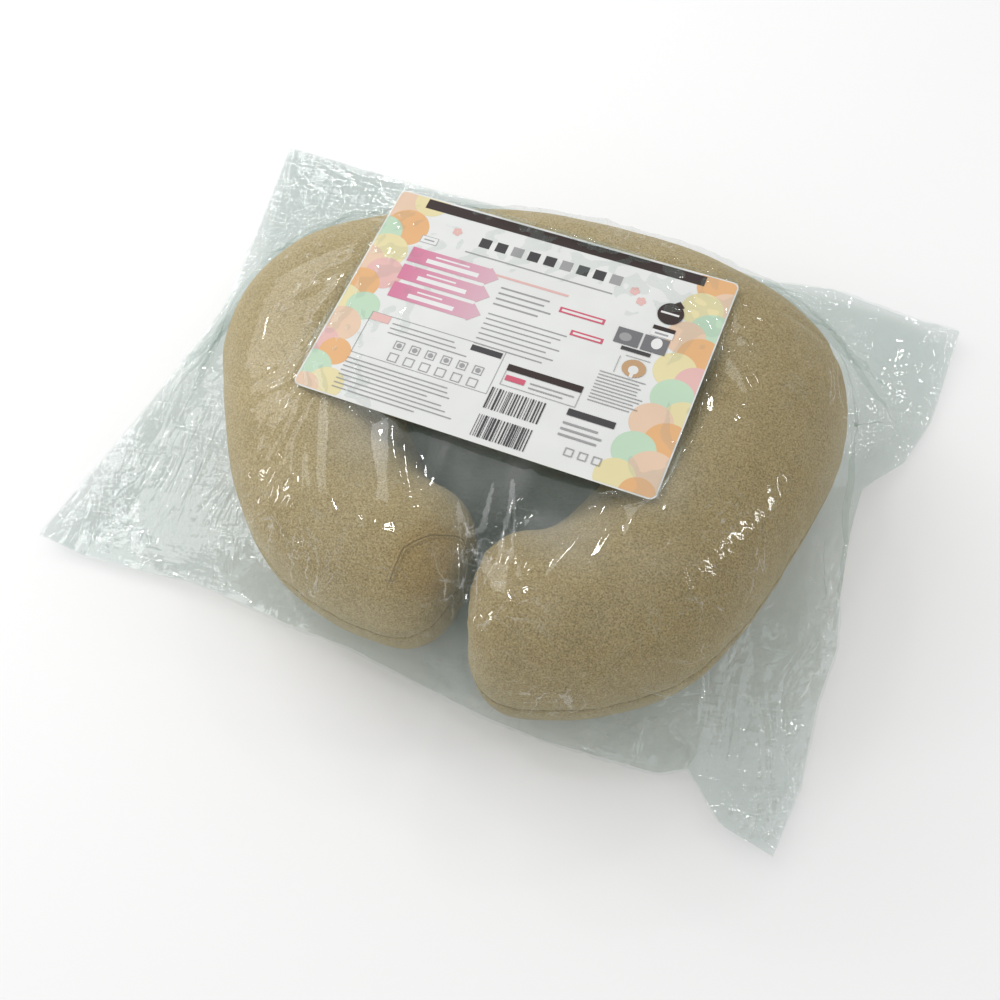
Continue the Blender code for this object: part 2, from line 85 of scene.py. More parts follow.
class Body(Enum):
    """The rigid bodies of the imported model."""

    CUSHION = "cushion"
    SLIDER = "slider"
    PULL = "pull"


class Slot(Enum):
    """The record's material slots."""

    PILE = "pile_fabric"
    LINING = "lining_fabric"
    FIBRE = "fibre_fill"
    TAPE = "zip_tape"
    NYLON = "zip_nylon"
    METAL = "zip_metal"
    SATIN = "label_satin"
    CARD = "printed_card"
    FILM = "clear_film"


class NodeBoard:
    """A material's node tree, with a Principled shader and short calls for the nodes before it."""

    def __init__(self, name: str) -> None:
        """Makes the material with a Principled shader alone."""
        self.material = bpy.data.materials.new(name)
        self.material.use_nodes = True
        self.tree = self.material.node_tree
        self.shader = self.tree.nodes["Principled BSDF"]
        self._object: Socket | None = None

    def constant(self, **values: float | tuple) -> None:
        """Sets sockets of the shader itself; an underscore in a name stands for a space."""
        for name, value in values.items():
            self.shader.inputs[name.replace("_", " ")].default_value = value

    def node(self, kind: str, **settings: object) -> bpy.types.Node:
        """Adds a node and sets its properties."""
        made = self.tree.nodes.new(kind)
        for name, value in settings.items():
            setattr(made, name, value)
        return made

    def link(self, start: Socket, end: Socket) -> None:
        """Joins two sockets."""
        self.tree.links.new(start, end)

    def place(self) -> Socket:
        """The object coordinates."""
        if self._object is None:
            self._object = self.node("ShaderNodeTexCoord").outputs["Object"]
        return self._object

    def stretched(self, source: Socket, scale: Point, turn: Point = (0, 0, 0)) -> Socket:
        """Coordinates turned and scaled by a Mapping node.

        Args:
            source: the coordinates.
            scale: the scale on each axis.
            turn: the turn about each axis.

        Returns:
            The new coordinates.
        """
        mapping = self.node("ShaderNodeMapping")
        mapping.inputs["Scale"].default_value = scale
        mapping.inputs["Rotation"].default_value = turn
        self.link(source, mapping.inputs["Vector"])
        return mapping.outputs["Vector"]

    def noise(
        self, source: Socket, scale: float, detail: float = 2.0, rough: float = 0.5, warp: float = 0.0
    ) -> Socket:
        """A noise pattern's factor.

        Args:
            source: the coordinates.
            scale: features in a metre.
            detail: finer layers.
            rough: how strong they are.
            warp: the distortion.

        Returns:
            The pattern, from 0 to 1.
        """
        made = self.node("ShaderNodeTexNoise")
        made.inputs["Scale"].default_value = scale
        made.inputs["Detail"].default_value = detail
        made.inputs["Roughness"].default_value = rough
        made.inputs["Distortion"].default_value = warp
        self.link(source, made.inputs["Vector"])
        return made.outputs["Fac"]

    def waves(self, source: Socket, scale: float, axis: str, warp: float = 0.0) -> Socket:
        """Sine bands across an axis.

        Args:
            source: the coordinates.
            scale: bands in a metre.
            axis: X, Y or Z.
            warp: the distortion.

        Returns:
            The bands, from 0 to 1.
        """
        made = self.node("ShaderNodeTexWave", wave_type="BANDS", bands_direction=axis, wave_profile="SIN")
        made.inputs["Scale"].default_value = scale
        made.inputs["Distortion"].default_value = warp
        self.link(source, made.inputs["Vector"])
        return made.outputs["Fac"]

    def ramp(self, source: Socket, stops: Sequence[tuple[float, Colour | float]]) -> Socket:
        """A colour ramp; a stop's value is a colour or a grey.

        Args:
            source: a number from 0 to 1.
            stops: positions with a colour or a grey.

        Returns:
            The ramp's colour.
        """
        made = self.node("ShaderNodeValToRGB")
        elements = made.color_ramp.elements
        while len(elements) < len(stops):
            elements.new(0.5)
        for element, (position, value) in zip(elements, stops):
            element.position = position
            element.color = (value,) * 3 + (1.0,) if isinstance(value, float) else (*value, 1.0)
        self.link(source, made.inputs["Fac"])
        return made.outputs["Color"]

    def gap(self, centre: Point) -> Socket:
        """The distance from a point, in metres."""
        made = self.node("ShaderNodeVectorMath", operation="DISTANCE")
        self.link(self.place(), made.inputs[0])
        made.inputs[1].default_value = centre
        return made.outputs["Value"]

    def axis(self, name: str) -> Socket:
        """One of the object coordinates, X, Y or Z."""
        split = self.node("ShaderNodeSeparateXYZ")
        self.link(self.place(), split.inputs[0])
        return split.outputs[name]

    def maths(self, operation: str, first: Socket, second: Socket | float) -> Socket:
        """A Math node.

        Args:
            operation: Blender's name for it.
            first: a socket.
            second: a socket or a number.

        Returns:
            The result.
        """
        made = self.node("ShaderNodeMath", operation=operation)
        self.link(first, made.inputs[0])
        if isinstance(second, Socket):
            self.link(second, made.inputs[1])
        else:
            made.inputs[1].default_value = second
        return made.outputs[0]

    def blend(self, factor: Socket | float, first: Socket, second: Socket, way: str) -> Socket:
        """A colour mix of two sockets.

        Args:
            factor: how much of it, from 0 to 1.
            first: a colour.
            second: another colour.
            way: Blender's name for the blend.

        Returns:
            The mixed colour.
        """
        made = self.node("ShaderNodeMix", data_type="RGBA", blend_type=way)
        if isinstance(factor, Socket):
            self.link(factor, made.inputs["Factor"])
        else:
            made.inputs["Factor"].default_value = factor
        self.link(first, made.inputs["A"])
        self.link(second, made.inputs["B"])
        return made.outputs["Result"]

    def colour(self, source: Socket) -> None:
        """Drives the base colour."""
        self.link(source, self.shader.inputs["Base Color"])

    def bump(self, heights: Iterable[tuple[Socket, float, float]]) -> None:
        """Chains bumps; each is a height, a strength and a distance in metres."""
        normal = None
        for height, strength, distance in heights:
            made = self.node("ShaderNodeBump")
            made.inputs["Strength"].default_value = strength
            made.inputs["Distance"].default_value = distance
            self.link(height, made.inputs["Height"])
            if normal is not None:
                self.link(normal, made.inputs["Normal"])
            normal = made.outputs["Normal"]
        self.link(normal, self.shader.inputs["Normal"])


@dataclass(frozen=True)
class PileFinish:
    """Short dense pile: tufts, nap patches and soft tone differences at random, with painted shade that
    darkens it towards the right and the front and round the gathers at the left leg's tip.
    """

    deep: Colour = (0.300, 0.212, 0.080)
    middle: Colour = (0.520, 0.400, 0.195)
    light: Colour = (0.700, 0.570, 0.330)
    # Painted shade: the tone that the pile is darkened to towards the right and the front.
    right_front_shade: Colour = (0.66, 0.62, 0.50)
    # Painted shade in the gathers round the left leg's tip: its middle and its tint.
    tip_shade_centre: Point = (-0.016, -0.170, 0.150)
    tip_shade_tint: Colour = (0.93, 0.85, 0.70)

    def material(self) -> bpy.types.Material:
        """The pile's material."""
        board = NodeBoard("beige_pile")
        place = board.place()
        tufts = board.noise(place, 760.0, 3.0, 0.65)
        clumps = board.noise(place, 430.0, 2.0, 0.6)
        nap = board.noise(place, 26.0, 4.0, 0.6, 0.6)
        shade = board.noise(place, 7.0, 3.0, 0.5, 0.4)
        grain = board.ramp(tufts, [(0.34, self.deep), (0.50, self.middle), (0.66, self.light)])
        # Painted shade: a slope across the plan, darker towards the right and the front.
        across = board.maths("SUBTRACT", board.axis("X"), board.maths("MULTIPLY", board.axis("Y"), 0.6))
        shade_slant = board.maths("ADD", across, 0.5)
        layers = (
            board.ramp(nap, [(0.30, 0.88), (0.50, 0.96), (0.72, 1.0)]),
            board.ramp(shade, [(0.30, 0.93), (0.70, 1.0)]),
            board.ramp(clumps, [(0.32, 0.88), (0.62, 1.0)]),
            # painted shade towards the right and the front
            board.ramp(shade_slant, [(0.36, (1.0, 1.0, 1.0)), (0.78, self.right_front_shade)]),
            # painted shade, darker within a few centimetres of the left leg's gathered tip
            board.ramp(board.gap(self.tip_shade_centre), [(0.027, self.tip_shade_tint), (0.040, (1.0, 1.0, 1.0))]),
        )
        for layer in layers:
            grain = board.blend(1.0, grain, layer, "MULTIPLY")
        board.colour(grain)
        board.constant(
            Roughness=0.95,
            Specular_IOR_Level=0.15,
            Sheen_Weight=0.35,
            Sheen_Roughness=0.45,
            Sheen_Tint=(0.95, 0.88, 0.72, 1.0),
        )
        board.bump([(nap, 0.25, 0.004), (clumps, 0.5, 0.0010), (tufts, 0.8, 0.0009)])
        return board.material


@dataclass(frozen=True)
class WeaveFinish:
    """A thin woven or felted cloth: crossed threads at a thread pitch, with a little unevenness."""

    name: str
    shade: Colour
    light: Colour
    pitch: float = 0.0006
    roughness: float = 0.85
    sheen: float = 0.1

    def material(self) -> bpy.types.Material:
        """The cloth's material."""
        board = NodeBoard(self.name)
        place = board.place()
        per_metre = 1.0 / self.pitch / (2.0 * math.pi) * 0.5
        warp = board.waves(place, per_metre, "X", 0.4)
        weft = board.waves(place, per_metre, "Z", 0.4)
        threads = board.maths("MULTIPLY", warp, weft)
        uneven = board.noise(place, 60.0, 4.0, 0.6)
        tone = board.maths("ADD", board.maths("MULTIPLY", threads, 0.5), board.maths("MULTIPLY", uneven, 0.6))
        board.colour(board.ramp(tone, [(0.2, self.shade), (0.75, self.light)]))
        board.constant(Roughness=self.roughness, Specular_IOR_Level=0.25, Sheen_Weight=self.sheen)
        board.bump([(uneven, 0.15, 0.001), (threads, 0.4, self.pitch * 0.5)])
        return board.material


@dataclass(frozen=True)
class FibreFinish:
    """Loose white polyester fibre."""

    shade: Colour = (0.74, 0.74, 0.72)
    light: Colour = (0.93, 0.93, 0.92)

    def material(self) -> bpy.types.Material:
        """The fibre's material."""
        board = NodeBoard("polyester_fibre")
        strands = board.noise(board.stretched(board.place(), (1.0, 1.0, 3.0)), 240.0, 6.0, 0.7, 2.5)
        lumps = board.noise(board.place(), 22.0, 4.0, 0.6, 1.0)
        tone = board.maths("ADD", board.maths("MULTIPLY", strands, 0.5), board.maths("MULTIPLY", lumps, 0.5))
        board.colour(board.ramp(tone, [(0.3, self.shade), (0.65, self.light)]))
        board.constant(Roughness=1.0, Specular_IOR_Level=0.1, Sheen_Weight=0.3)
        board.bump([(lumps, 0.5, 0.006), (strands, 0.7, 0.002)])
        return board.material


@dataclass(frozen=True)
class MouldedFinish:
    """Plastic or enamelled metal: a tone with faint mottling and small scratches."""

    name: str
    base: Colour
    roughness: float = 0.4
    metallic: float = 0.0
    coat: float = 0.0

    def material(self) -> bpy.types.Material:
        """The finish's material."""
        board = NodeBoard(self.name)
        place = board.place()
        mottle = board.noise(place, 700.0, 3.0, 0.6)
        scuffs = board.noise(board.stretched(place, (1.0, 6.0, 1.0), (0.3, 0.2, 0.9)), 900.0, 2.0, 0.5, 0.5)
        darker = tuple(channel * 0.82 for channel in self.base)
        board.colour(board.ramp(mottle, [(0.35, darker), (0.6, self.base)]))
        rough = board.maths("ADD", board.maths("MULTIPLY", scuffs, 0.2), self.roughness - 0.1)
        board.link(rough, board.shader.inputs["Roughness"])
        board.constant(Metallic=self.metallic, Coat_Weight=self.coat)
        board.bump([(scuffs, 0.12, 0.0002)])
        return board.material


@dataclass(frozen=True)
class PaperFinish:
    """Coated card or the ink on it: an even tone with a faint paper tooth."""

    name: str
    base: Colour
    roughness: float = 0.45
    mottle: float = 0.96

    def material(self) -> bpy.types.Material:
        """The finish's material."""
        board = NodeBoard(self.name)
        tooth = board.noise(board.place(), 900.0, 3.0, 0.6)
        cloud = board.noise(board.place(), 30.0, 2.0, 0.5)
        darker = tuple(channel * self.mottle for channel in self.base)
        board.colour(board.ramp(cloud, [(0.35, darker), (0.65, self.base)]))
        board.constant(Roughness=self.roughness, Specular_IOR_Level=0.35)
        board.bump([(tooth, 0.08, 0.0002)])
        return board.material


@dataclass(frozen=True)
class GradientInk:
    """Ink that fades from one tone to another along the card's length."""

    name: str
    near: Colour
    far: Colour
    start: float
    end: float
    turn: float

    def material(self) -> bpy.types.Material:
        """The ink's material."""
        board = NodeBoard(self.name)
        turned = board.stretched(board.place(), (1.0, 1.0, 1.0), (0.0, 0.0, -self.turn))
        split = board.node("ShaderNodeSeparateXYZ")
        board.link(turned, split.inputs[0])
        along = board.maths("SUBTRACT", split.outputs["X"], self.start)
        share = board.maths("DIVIDE", along, self.end - self.start)
        board.colour(board.ramp(share, [(0.0, self.near), (1.0, self.far)]))
        board.constant(Roughness=0.42, Specular_IOR_Level=0.35)
        return board.material


@dataclass(frozen=True)
class FilmFinish:
    """Thin clear film: a faint green-grey tint, painted highlights along its creases, painted reflections as
    pale patches and streaks, and a crisp shine.
    """

    name: str
    tint: Colour = (0.09, 0.28, 0.21)
    # The pale colour that the painted highlights and painted reflections turn the film to.
    crease: Colour = (0.90, 0.93, 0.92)
    clear_alpha: float = 0.09
    loose_alpha: float = 0.07
    # How opaque the film is where the painted highlights and reflections are full.
    highlight_alpha: float = 0.60
    # Painted reflection: how pale the random pale patches on the film get.
    reflection_haze: float = 0.12
    # Painted reflection over the waist opening: its middle and how pale its streaks get.
    opening: Point = (-0.008, -0.060, 0.150)
    opening_reflection_low: float = 0.13
    opening_reflection_high: float = 0.26
    # Painted sheen on the film over the legs: the patches' middles and how pale they get.
    sheen_patch_centres: tuple[Point, ...] = ((-0.098, -0.075, 0.160), (0.070, -0.120, 0.160), (0.122, -0.060, 0.160))
    sheen_patch_pale: float = 0.20

    def material(self) -> bpy.types.Material:
        """The film's material."""
        board = NodeBoard(self.name)
        place = board.place()
        turned = board.stretched(place, (1.0, 0.30, 0.6), (0.0, 0.0, math.radians(38.0)))
        other = board.stretched(place, (0.28, 1.0, 0.6), (0.0, 0.0, math.radians(-24.0)))
        first = board.noise(turned, 30.0, 3.0, 0.55, 0.9)
        second = board.noise(other, 42.0, 3.0, 0.55, 0.8)
        third = board.noise(place, 70.0, 1.0, 0.4, 0.6)
        fourth = board.noise(other, 130.0, 1.0, 0.4, 0.5)
        where = board.noise(place, 9.0, 2.0, 0.5)
        # Painted highlight: thin pale lines along the creases, where they would catch the light.
        ridges = board.ramp(first, [(0.488, 0.0), (0.500, 1.0), (0.506, 0.0)])
        ribs = board.ramp(second, [(0.493, 0.0), (0.500, 0.9), (0.505, 0.0)])
        patches = board.ramp(where, [(0.40, 0.12), (0.64, 1.0)])
        lines = board.maths("MULTIPLY", board.maths("MAXIMUM", ridges, ribs), patches)
        # Painted reflection: pale patches at random over the film.
        reflection_haze = board.ramp(board.noise(place, 13.0, 3.0, 0.6), [(0.46, 0.0), (0.78, self.reflection_haze)])
        white = board.maths("MAXIMUM", board.maths("MULTIPLY", lines, 0.42), reflection_haze)
        # Painted reflection over the waist opening and over the legs.
        white = board.maths("MAXIMUM", white, self.reflection_veil(board))
        # The painted light turns the tint towards the pale colour.
        board.colour(board.ramp(white, [(0.0, self.tint), (0.35, self.crease)]))
        loose = board.ramp(board.axis("Z"), [(0.07, 1.0), (0.140, 0.07)])
        clear = board.maths("ADD", board.maths("MULTIPLY", loose, self.loose_alpha), self.clear_alpha)
        # The painted light also makes the film more opaque there.
        alpha = board.maths("MULTIPLY", white, self.highlight_alpha - self.clear_alpha)
        board.link(board.maths("ADD", alpha, clear), board.shader.inputs["Alpha"])
        board.constant(Roughness=0.035, IOR=2.6, Specular_IOR_Level=1.0)
        folds = []
        for pattern, depth in ((first, 0.012), (second, 0.008), (third, 0.0036), (fourth, 0.0012)):
            fold = board.maths("ABSOLUTE", board.maths("SUBTRACT", pattern, 0.5), 0.0)
            folds.append((board.maths("MULTIPLY", fold, board.maths("MULTIPLY", loose, patches)), 1.0, depth))
        board.bump(folds)
        return board.material

    def reflection_veil(self, board: NodeBoard) -> Socket:
        """Painted reflection: pale streaks over the waist opening, and soft pale patches on the film over the
        legs at the listed points.

        Args:
            board: the film's nodes.

        Returns:
            How much the painted reflection whitens the film there.
        """
        streaks = board.noise(board.stretched(board.place(), (1.0, 0.16, 1.0)), 48.0, 2.0, 0.5, 0.4)
        middle = board.ramp(board.gap(self.opening), [(0.035, 1.0), (0.085, 0.0)])
        soft = board.ramp(streaks, [(0.36, self.opening_reflection_low), (0.62, self.opening_reflection_high)])
        total = board.maths("MULTIPLY", soft, middle)
        cloudy = board.ramp(board.noise(board.place(), 16.0, 3.0, 0.6, 0.8), [(0.36, 0.4), (0.60, 1.0)])
        for centre in self.sheen_patch_centres:
            patch = board.ramp(board.gap(centre), [(0.018, self.sheen_patch_pale), (0.062, 0.0)])
            total = board.maths("MAXIMUM", total, board.maths("MULTIPLY", patch, cloudy))
        return total


class Kit:
    """Short ways to turn a bmesh into a piece of the object."""

    @staticmethod
    def piece(
        name: str,
        bm: bmesh.types.BMesh,
        materials: Sequence[bpy.types.Material],
        slot: Slot | None = None,
        body: Body | None = Body.CUSHION,
        smooth: bool = True,
    ) -> bpy.types.Object:
        """Makes a piece from a bmesh that is already in the row frame.

        Args:
            name: the piece's name.
            bm: its bmesh, which is freed.
            materials: its materials, in index order.
            slot: the record's slot that its finish belongs to; not used.
            body: the rigid body that it rides on, or None while it is only a tool.
            smooth: whether its faces are shaded smooth.

        Returns:
            The piece.
        """
        mesh = bpy.data.meshes.new(name)
        bm.to_mesh(mesh)
        bm.free()
        for material in materials:
            mesh.materials.append(material)
        if smooth:
            mesh.shade_smooth()
            mesh.set_sharp_from_angle(angle=math.radians(50.0))
        obj = bpy.data.objects.new(name, mesh)
        bpy.context.scene.collection.objects.link(obj)
        if body is not None:
            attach(obj, body.value)
        return obj

    @staticmethod
    def block(
        bm: bmesh.types.BMesh, low: Point, high: Point, round_off: float = 0.0
    ) -> list[bmesh.types.BMVert]:
        """Adds a box with rounded edges.

        Args:
            bm: the bmesh that it is added to.
            low: its lowest corner.
            high: its highest corner.
            round_off: the radius of its edges.

        Returns:
            Its vertices.
        """
        before = set(bm.verts)
        size = Vector(high) - Vector(low)
        middle = (Vector(high) + Vector(low)) / 2
        place = Matrix.Translation(middle) @ Matrix.Diagonal((*size, 1.0))
        made = bmesh.ops.create_cube(bm, size=1.0, matrix=place)
        if round_off > 0.0:
            edges = list({edge for vert in made["verts"] for edge in vert.link_edges})
            bmesh.ops.bevel(
                bm, geom=edges, offset=round_off, segments=2, profile=0.5, affect="EDGES", material=-1
            )
        return [vert for vert in bm.verts if vert not in before]

    @staticmethod
    def coordinates(obj: bpy.types.Object) -> np.ndarray:
        """The vertices of a mesh object, as rows of x, y, z."""
        flat = np.empty(len(obj.data.vertices) * 3)
        obj.data.vertices.foreach_get("co", flat)
        return flat.reshape(-1, 3)

    @staticmethod
    def set_coordinates(obj: bpy.types.Object, places: np.ndarray) -> None:
        """Moves the vertices of a mesh object to rows of x, y, z."""
        obj.data.vertices.foreach_set("co", places.ravel())
        obj.data.update()

    @staticmethod
    def apply_modifiers(obj: bpy.types.Object) -> None:
        """Puts the result of an object's modifiers into its own mesh."""
        graph = bpy.context.evaluated_depsgraph_get()
        mesh = bpy.data.meshes.new_from_object(obj.evaluated_get(graph), depsgraph=graph)
        old = obj.data
        obj.modifiers.clear()
        obj.data = mesh
        mesh.name = old.name
        bpy.data.meshes.remove(old)

    @staticmethod
    def lumps(places: np.ndarray, scale: float, seed: float) -> np.ndarray:
        """Smooth noise from -1 to 1 at each of the places.

        Args:
            places: rows of x, y, z.
            scale: how many features a metre holds.
            seed: a shift that picks another pattern.

        Returns:
            One number for each place.
        """
        shift = Vector((seed, seed * 1.7, -seed))
        return np.array([noise.noise(Vector(place) * scale + shift) for place in places])

    @staticmethod
    def smooth_step(values: np.ndarray, start: float, end: float) -> np.ndarray:
        """Eases from 0 at start to 1 at end.

        Args:
            values: the numbers.
            start: where the rise begins.
            end: where it ends.

        Returns:
            Shares from 0 to 1.
        """
        share = np.clip((values - start) / (end - start), 0.0, 1.0)
        return share * share * (3.0 - 2.0 * share)


@dataclass(frozen=True)
class Station:
    """A cross-section of the cushion: its place on the centre line and its half widths."""

    side: int
    base: Vector
    heading: float
    outer: float
    inner: float
    tip_angle: float


@dataclass(frozen=True)
class CushionForm:
    """The cushion's plan and section: a chain of tangent arcs from mid-back to each leg's tip."""

    back_y: float = 0.1255
    back_radius: float = 0.365
    back_turn: float = math.radians(20.5)
    shoulder_radius: float = 0.082
    shoulder_turn: float = math.radians(80.0)
    side_radius: float = 0.320
    side_turn: float = math.radians(22.5)
    leg_radius: float = 0.122
    mouth_gap: float = 0.006
    back_half_width: float = 0.075
    shoulder_half_width: float = 0.089
    shoulder_corner: float = 0.016
    side_half_width: float = 0.0785
    leg_half_width: float = 0.080
    tip_half_width: float = 0.069
    tip_length: float = 0.045
    tip_bluntness: float = 0.62
    height: float = 0.160
    power: float = 2.3
    leg_set: float = 0.016
    leg_set_length: float = 0.150
    middle_z: float = 0.08085

    @property
    def arcs(self) -> tuple[tuple[float, float], ...]:
        """The arcs before the leg's own: radius and turn."""
        return (
            (self.back_radius, self.back_turn),
            (self.shoulder_radius, self.shoulder_turn),
            (self.side_radius, self.side_turn),
        )

    @property
    def leg_distance(self) -> float:
        """How far along the centre line the leg's own arc begins."""
        return sum(radius * turn for radius, turn in self.arcs)

    @staticmethod
    def along(start: Vector, heading: float, radius: float, turn: float) -> tuple[Vector, float]:
        """The end and heading of an arc that turns clockwise.

        Args:
            start: the start.
            heading: the heading there.
            radius: the arc's radius.
            turn: its angle.

        Returns:
            The end and its heading.
        """
        centre = start + radius * Vector((math.sin(heading), -math.cos(heading)))
        after = heading - turn
        return centre + radius * Vector((-math.sin(after), math.cos(after))), after

    def leg_turn(self) -> float:
        """The turn of the leg's arc that leaves half the mouth gap beside its tip."""
        place, heading = Vector((0.0, self.back_y)), 0.0
        for radius, turn in self.arcs:
            place, heading = self.along(place, heading, radius, turn)
        low, high = 0.0, 1.5 * math.pi + heading
        for _ in range(40):
            turn = (low + high) / 2
            end, after = self.along(place, heading, self.leg_radius, turn)
            reach = math.hypot(self.tip_length * math.cos(after), self.tip_half_width * math.sin(after))
            if end.x - reach > self.mouth_gap / 2:
                low = turn
            else:
                high = turn
        return low

    def centre_line(self, distance: float) -> tuple[Vector, float]:
        """The point and heading at a distance along the right half's centre line."""
        place, heading, left = Vector((0.0, self.back_y)), 0.0, distance
        for radius, turn in (*self.arcs, (self.leg_radius, self.leg_turn())):
            here = min(left / radius, turn)
            place, heading = self.along(place, heading, radius, here)
            left -= here * radius
        return place, heading

    @property
    def tip_distance(self) -> float:
        """How far along the centre line the rounded tip begins."""
        return self.leg_distance + self.leg_radius * self.leg_turn()

    def half_width(self, distance: float, at_shoulder: float) -> float:
        """The half width at a distance, eased between the named widths.

        Args:
            distance: how far along the centre line.
            at_shoulder: the half width there.

        Returns:
            The half width.
        """
        back_end = self.back_radius * self.back_turn
        side_start = back_end + self.shoulder_radius * self.shoulder_turn
        tip = self.tip_distance
        keys = (
            (0.0, self.back_half_width),
            (back_end, self.back_half_width),
            ((back_end + side_start) / 2, at_shoulder),
            ((side_start + self.leg_distance) / 2, self.side_half_width),
            (self.leg_distance, self.leg_half_width),
            (tip, self.tip_half_width),
        )
        for (start, first), (end, last) in zip(keys, keys[1:]):
            if distance <= end:
                share = max(distance - start, 0.0) / (end - start)
                return first + (last - first) * share * share * (3.0 - 2.0 * share)
        return self.tip_half_width

    def station(self, along: float) -> Station:
        """The cross-section at a share of the whole length, from -1 at one tip to 1 at the other.

        Args:
            along: the share.

        Returns:
            The cross-section.
        """
        side = -1 if along < 0.0 else 1
        body = self.tip_distance
        cap = self.tip_length * 1.2
        distance = math.fabs(along) * (body + cap)
        tip_angle = 0.0
        if distance > body:
            tip_angle = (distance - body) / cap * math.pi / 2
            distance = body
        base, heading = self.centre_line(distance)
        outer = self.half_width(distance, self.shoulder_half_width)
        inner = self.half_width(distance, self.shoulder_radius - self.shoulder_corner)
        return Station(side, base, heading, outer, inner, tip_angle)

    def point(self, station: Station, angle: float, inset: float) -> Vector:
        """A point of the cushion's skin, or of a skin inside it.

        Args:
            station: the cross-section.
            angle: the angle round the section, from the outer seam over the top.
            inset: how far inside the skin.

        Returns:
            The point, in the row frame.
        """
        across, up = math.cos(angle), math.sin(angle)
        out = math.copysign(math.fabs(across) ** (2.0 / self.power), across)
        rise = math.copysign(math.fabs(up) ** (2.0 / self.power), up)
        shrink = max(math.cos(station.tip_angle), 0.0) ** self.tip_bluntness
        reach = (self.tip_length - inset) * math.sin(station.tip_angle)
        along = Vector((math.cos(station.heading), math.sin(station.heading)))
        outward = Vector((-along.y, along.x))
        width = (station.outer if out > 0.0 else station.inner) - inset
        place = station.base + along * reach + outward * out * shrink * width
        settle = -station.side * self.leg_set * min(max(-place.y / self.leg_set_length, 0.0), 1.0)
        height = self.middle_z + rise * shrink * (self.height / 2 - inset)
        return Vector((station.side * place.x, place.y + settle, height))

    def skin(self, inset: float, along_count: int, round_count: int) -> bmesh.types.BMesh:
        """The closed skin at an inset.

        Args:
            inset: how far inside the cushion's own skin.
            along_count: faces from tip to tip.
            round_count: faces round the section.

        Returns:
            A bmesh of the skin.
        """
        bm = bmesh.new()
        bmesh.ops.create_grid(bm, x_segments=along_count, y_segments=round_count, size=1.0)
        stations: dict[float, Station] = {}
        for vert in bm.verts:
            key = round(vert.co.x, 6)
            if key not in stations:
                stations[key] = self.station(min(max(key, -1.0), 1.0))
            vert.co = self.point(stations[key], (vert.co.y + 1.0) * math.pi, inset)
        bmesh.ops.remove_doubles(bm, verts=bm.verts[:], dist=1e-5)
        bmesh.ops.recalc_face_normals(bm, faces=bm.faces[:])
        return bm


@dataclass(frozen=True)
class Padding:
    """How a stuffed piece is puffed by the cloth solver."""

    voxel: float = 0.005
    pressure: float = 4.0
    frames: int = 18
    cap: float = 0.006

    def puff(self, obj: bpy.types.Object) -> None:
        """Remeshes a closed piece, lets pressure swell it, caps how far it goes, and applies the result.

        Args:
            obj: the piece, whose mesh is replaced.
        """
        remesh = obj.modifiers.new("even", "REMESH")
        remesh.mode = "VOXEL"
        remesh.voxel_size = self.voxel
        Kit.apply_modifiers(obj)
        start = Kit.coordinates(obj)
        scene = bpy.context.scene
        cloth = obj.modifiers.new("swell", "CLOTH")
        cloth.settings.use_pressure = True
        cloth.settings.uniform_pressure_force = self.pressure
        cloth.settings.effector_weights.gravity = 0.0
        cloth.settings.quality = 4
        cloth.point_cache.frame_start = 1
        cloth.point_cache.frame_end = self.frames
        for frame in range(1, self.frames + 1):
            scene.frame_set(frame)
        Kit.apply_modifiers(obj)
        scene.frame_set(1)
        moved = Kit.coordinates(obj) - start
        length = np.linalg.norm(moved, axis=1, keepdims=True)
        keep = np.tanh(length / self.cap) * self.cap / np.maximum(length, 1e-9)
        start = start + moved * keep
        Kit.set_coordinates(obj, start)
        finer = obj.modifiers.new("finer", "SUBSURF")
        finer.levels = 1
        finer.render_levels = 1
        Kit.apply_modifiers(obj)


@dataclass(frozen=True)
class ZipArc:
    """Where the zip lies: the arc of the back's outer wall, and the radii and heights of its parts."""

    centre_y: float = -0.2395
    middle_z: float = 0.08085
    wall: float = 0.440
    tape: float = 0.4368
    teeth: float = 0.4387
    plate: float = 0.4390
    plate_top: float = 0.4402
    pull_axis: float = 0.4410
    half_angle: float = math.radians(17.896)
    slider_angle: float = math.radians(16.854)
    post_gap: float = 0.0012
    slot: float = 0.012

    def frame(self, angle: float) -> Matrix:
        """The frame on the arc's axis whose X is along the zip and whose Y points out of the back."""
        return Matrix.Translation((0.0, self.centre_y, self.middle_z)) @ Matrix.Rotation(-angle, 4, "Z")


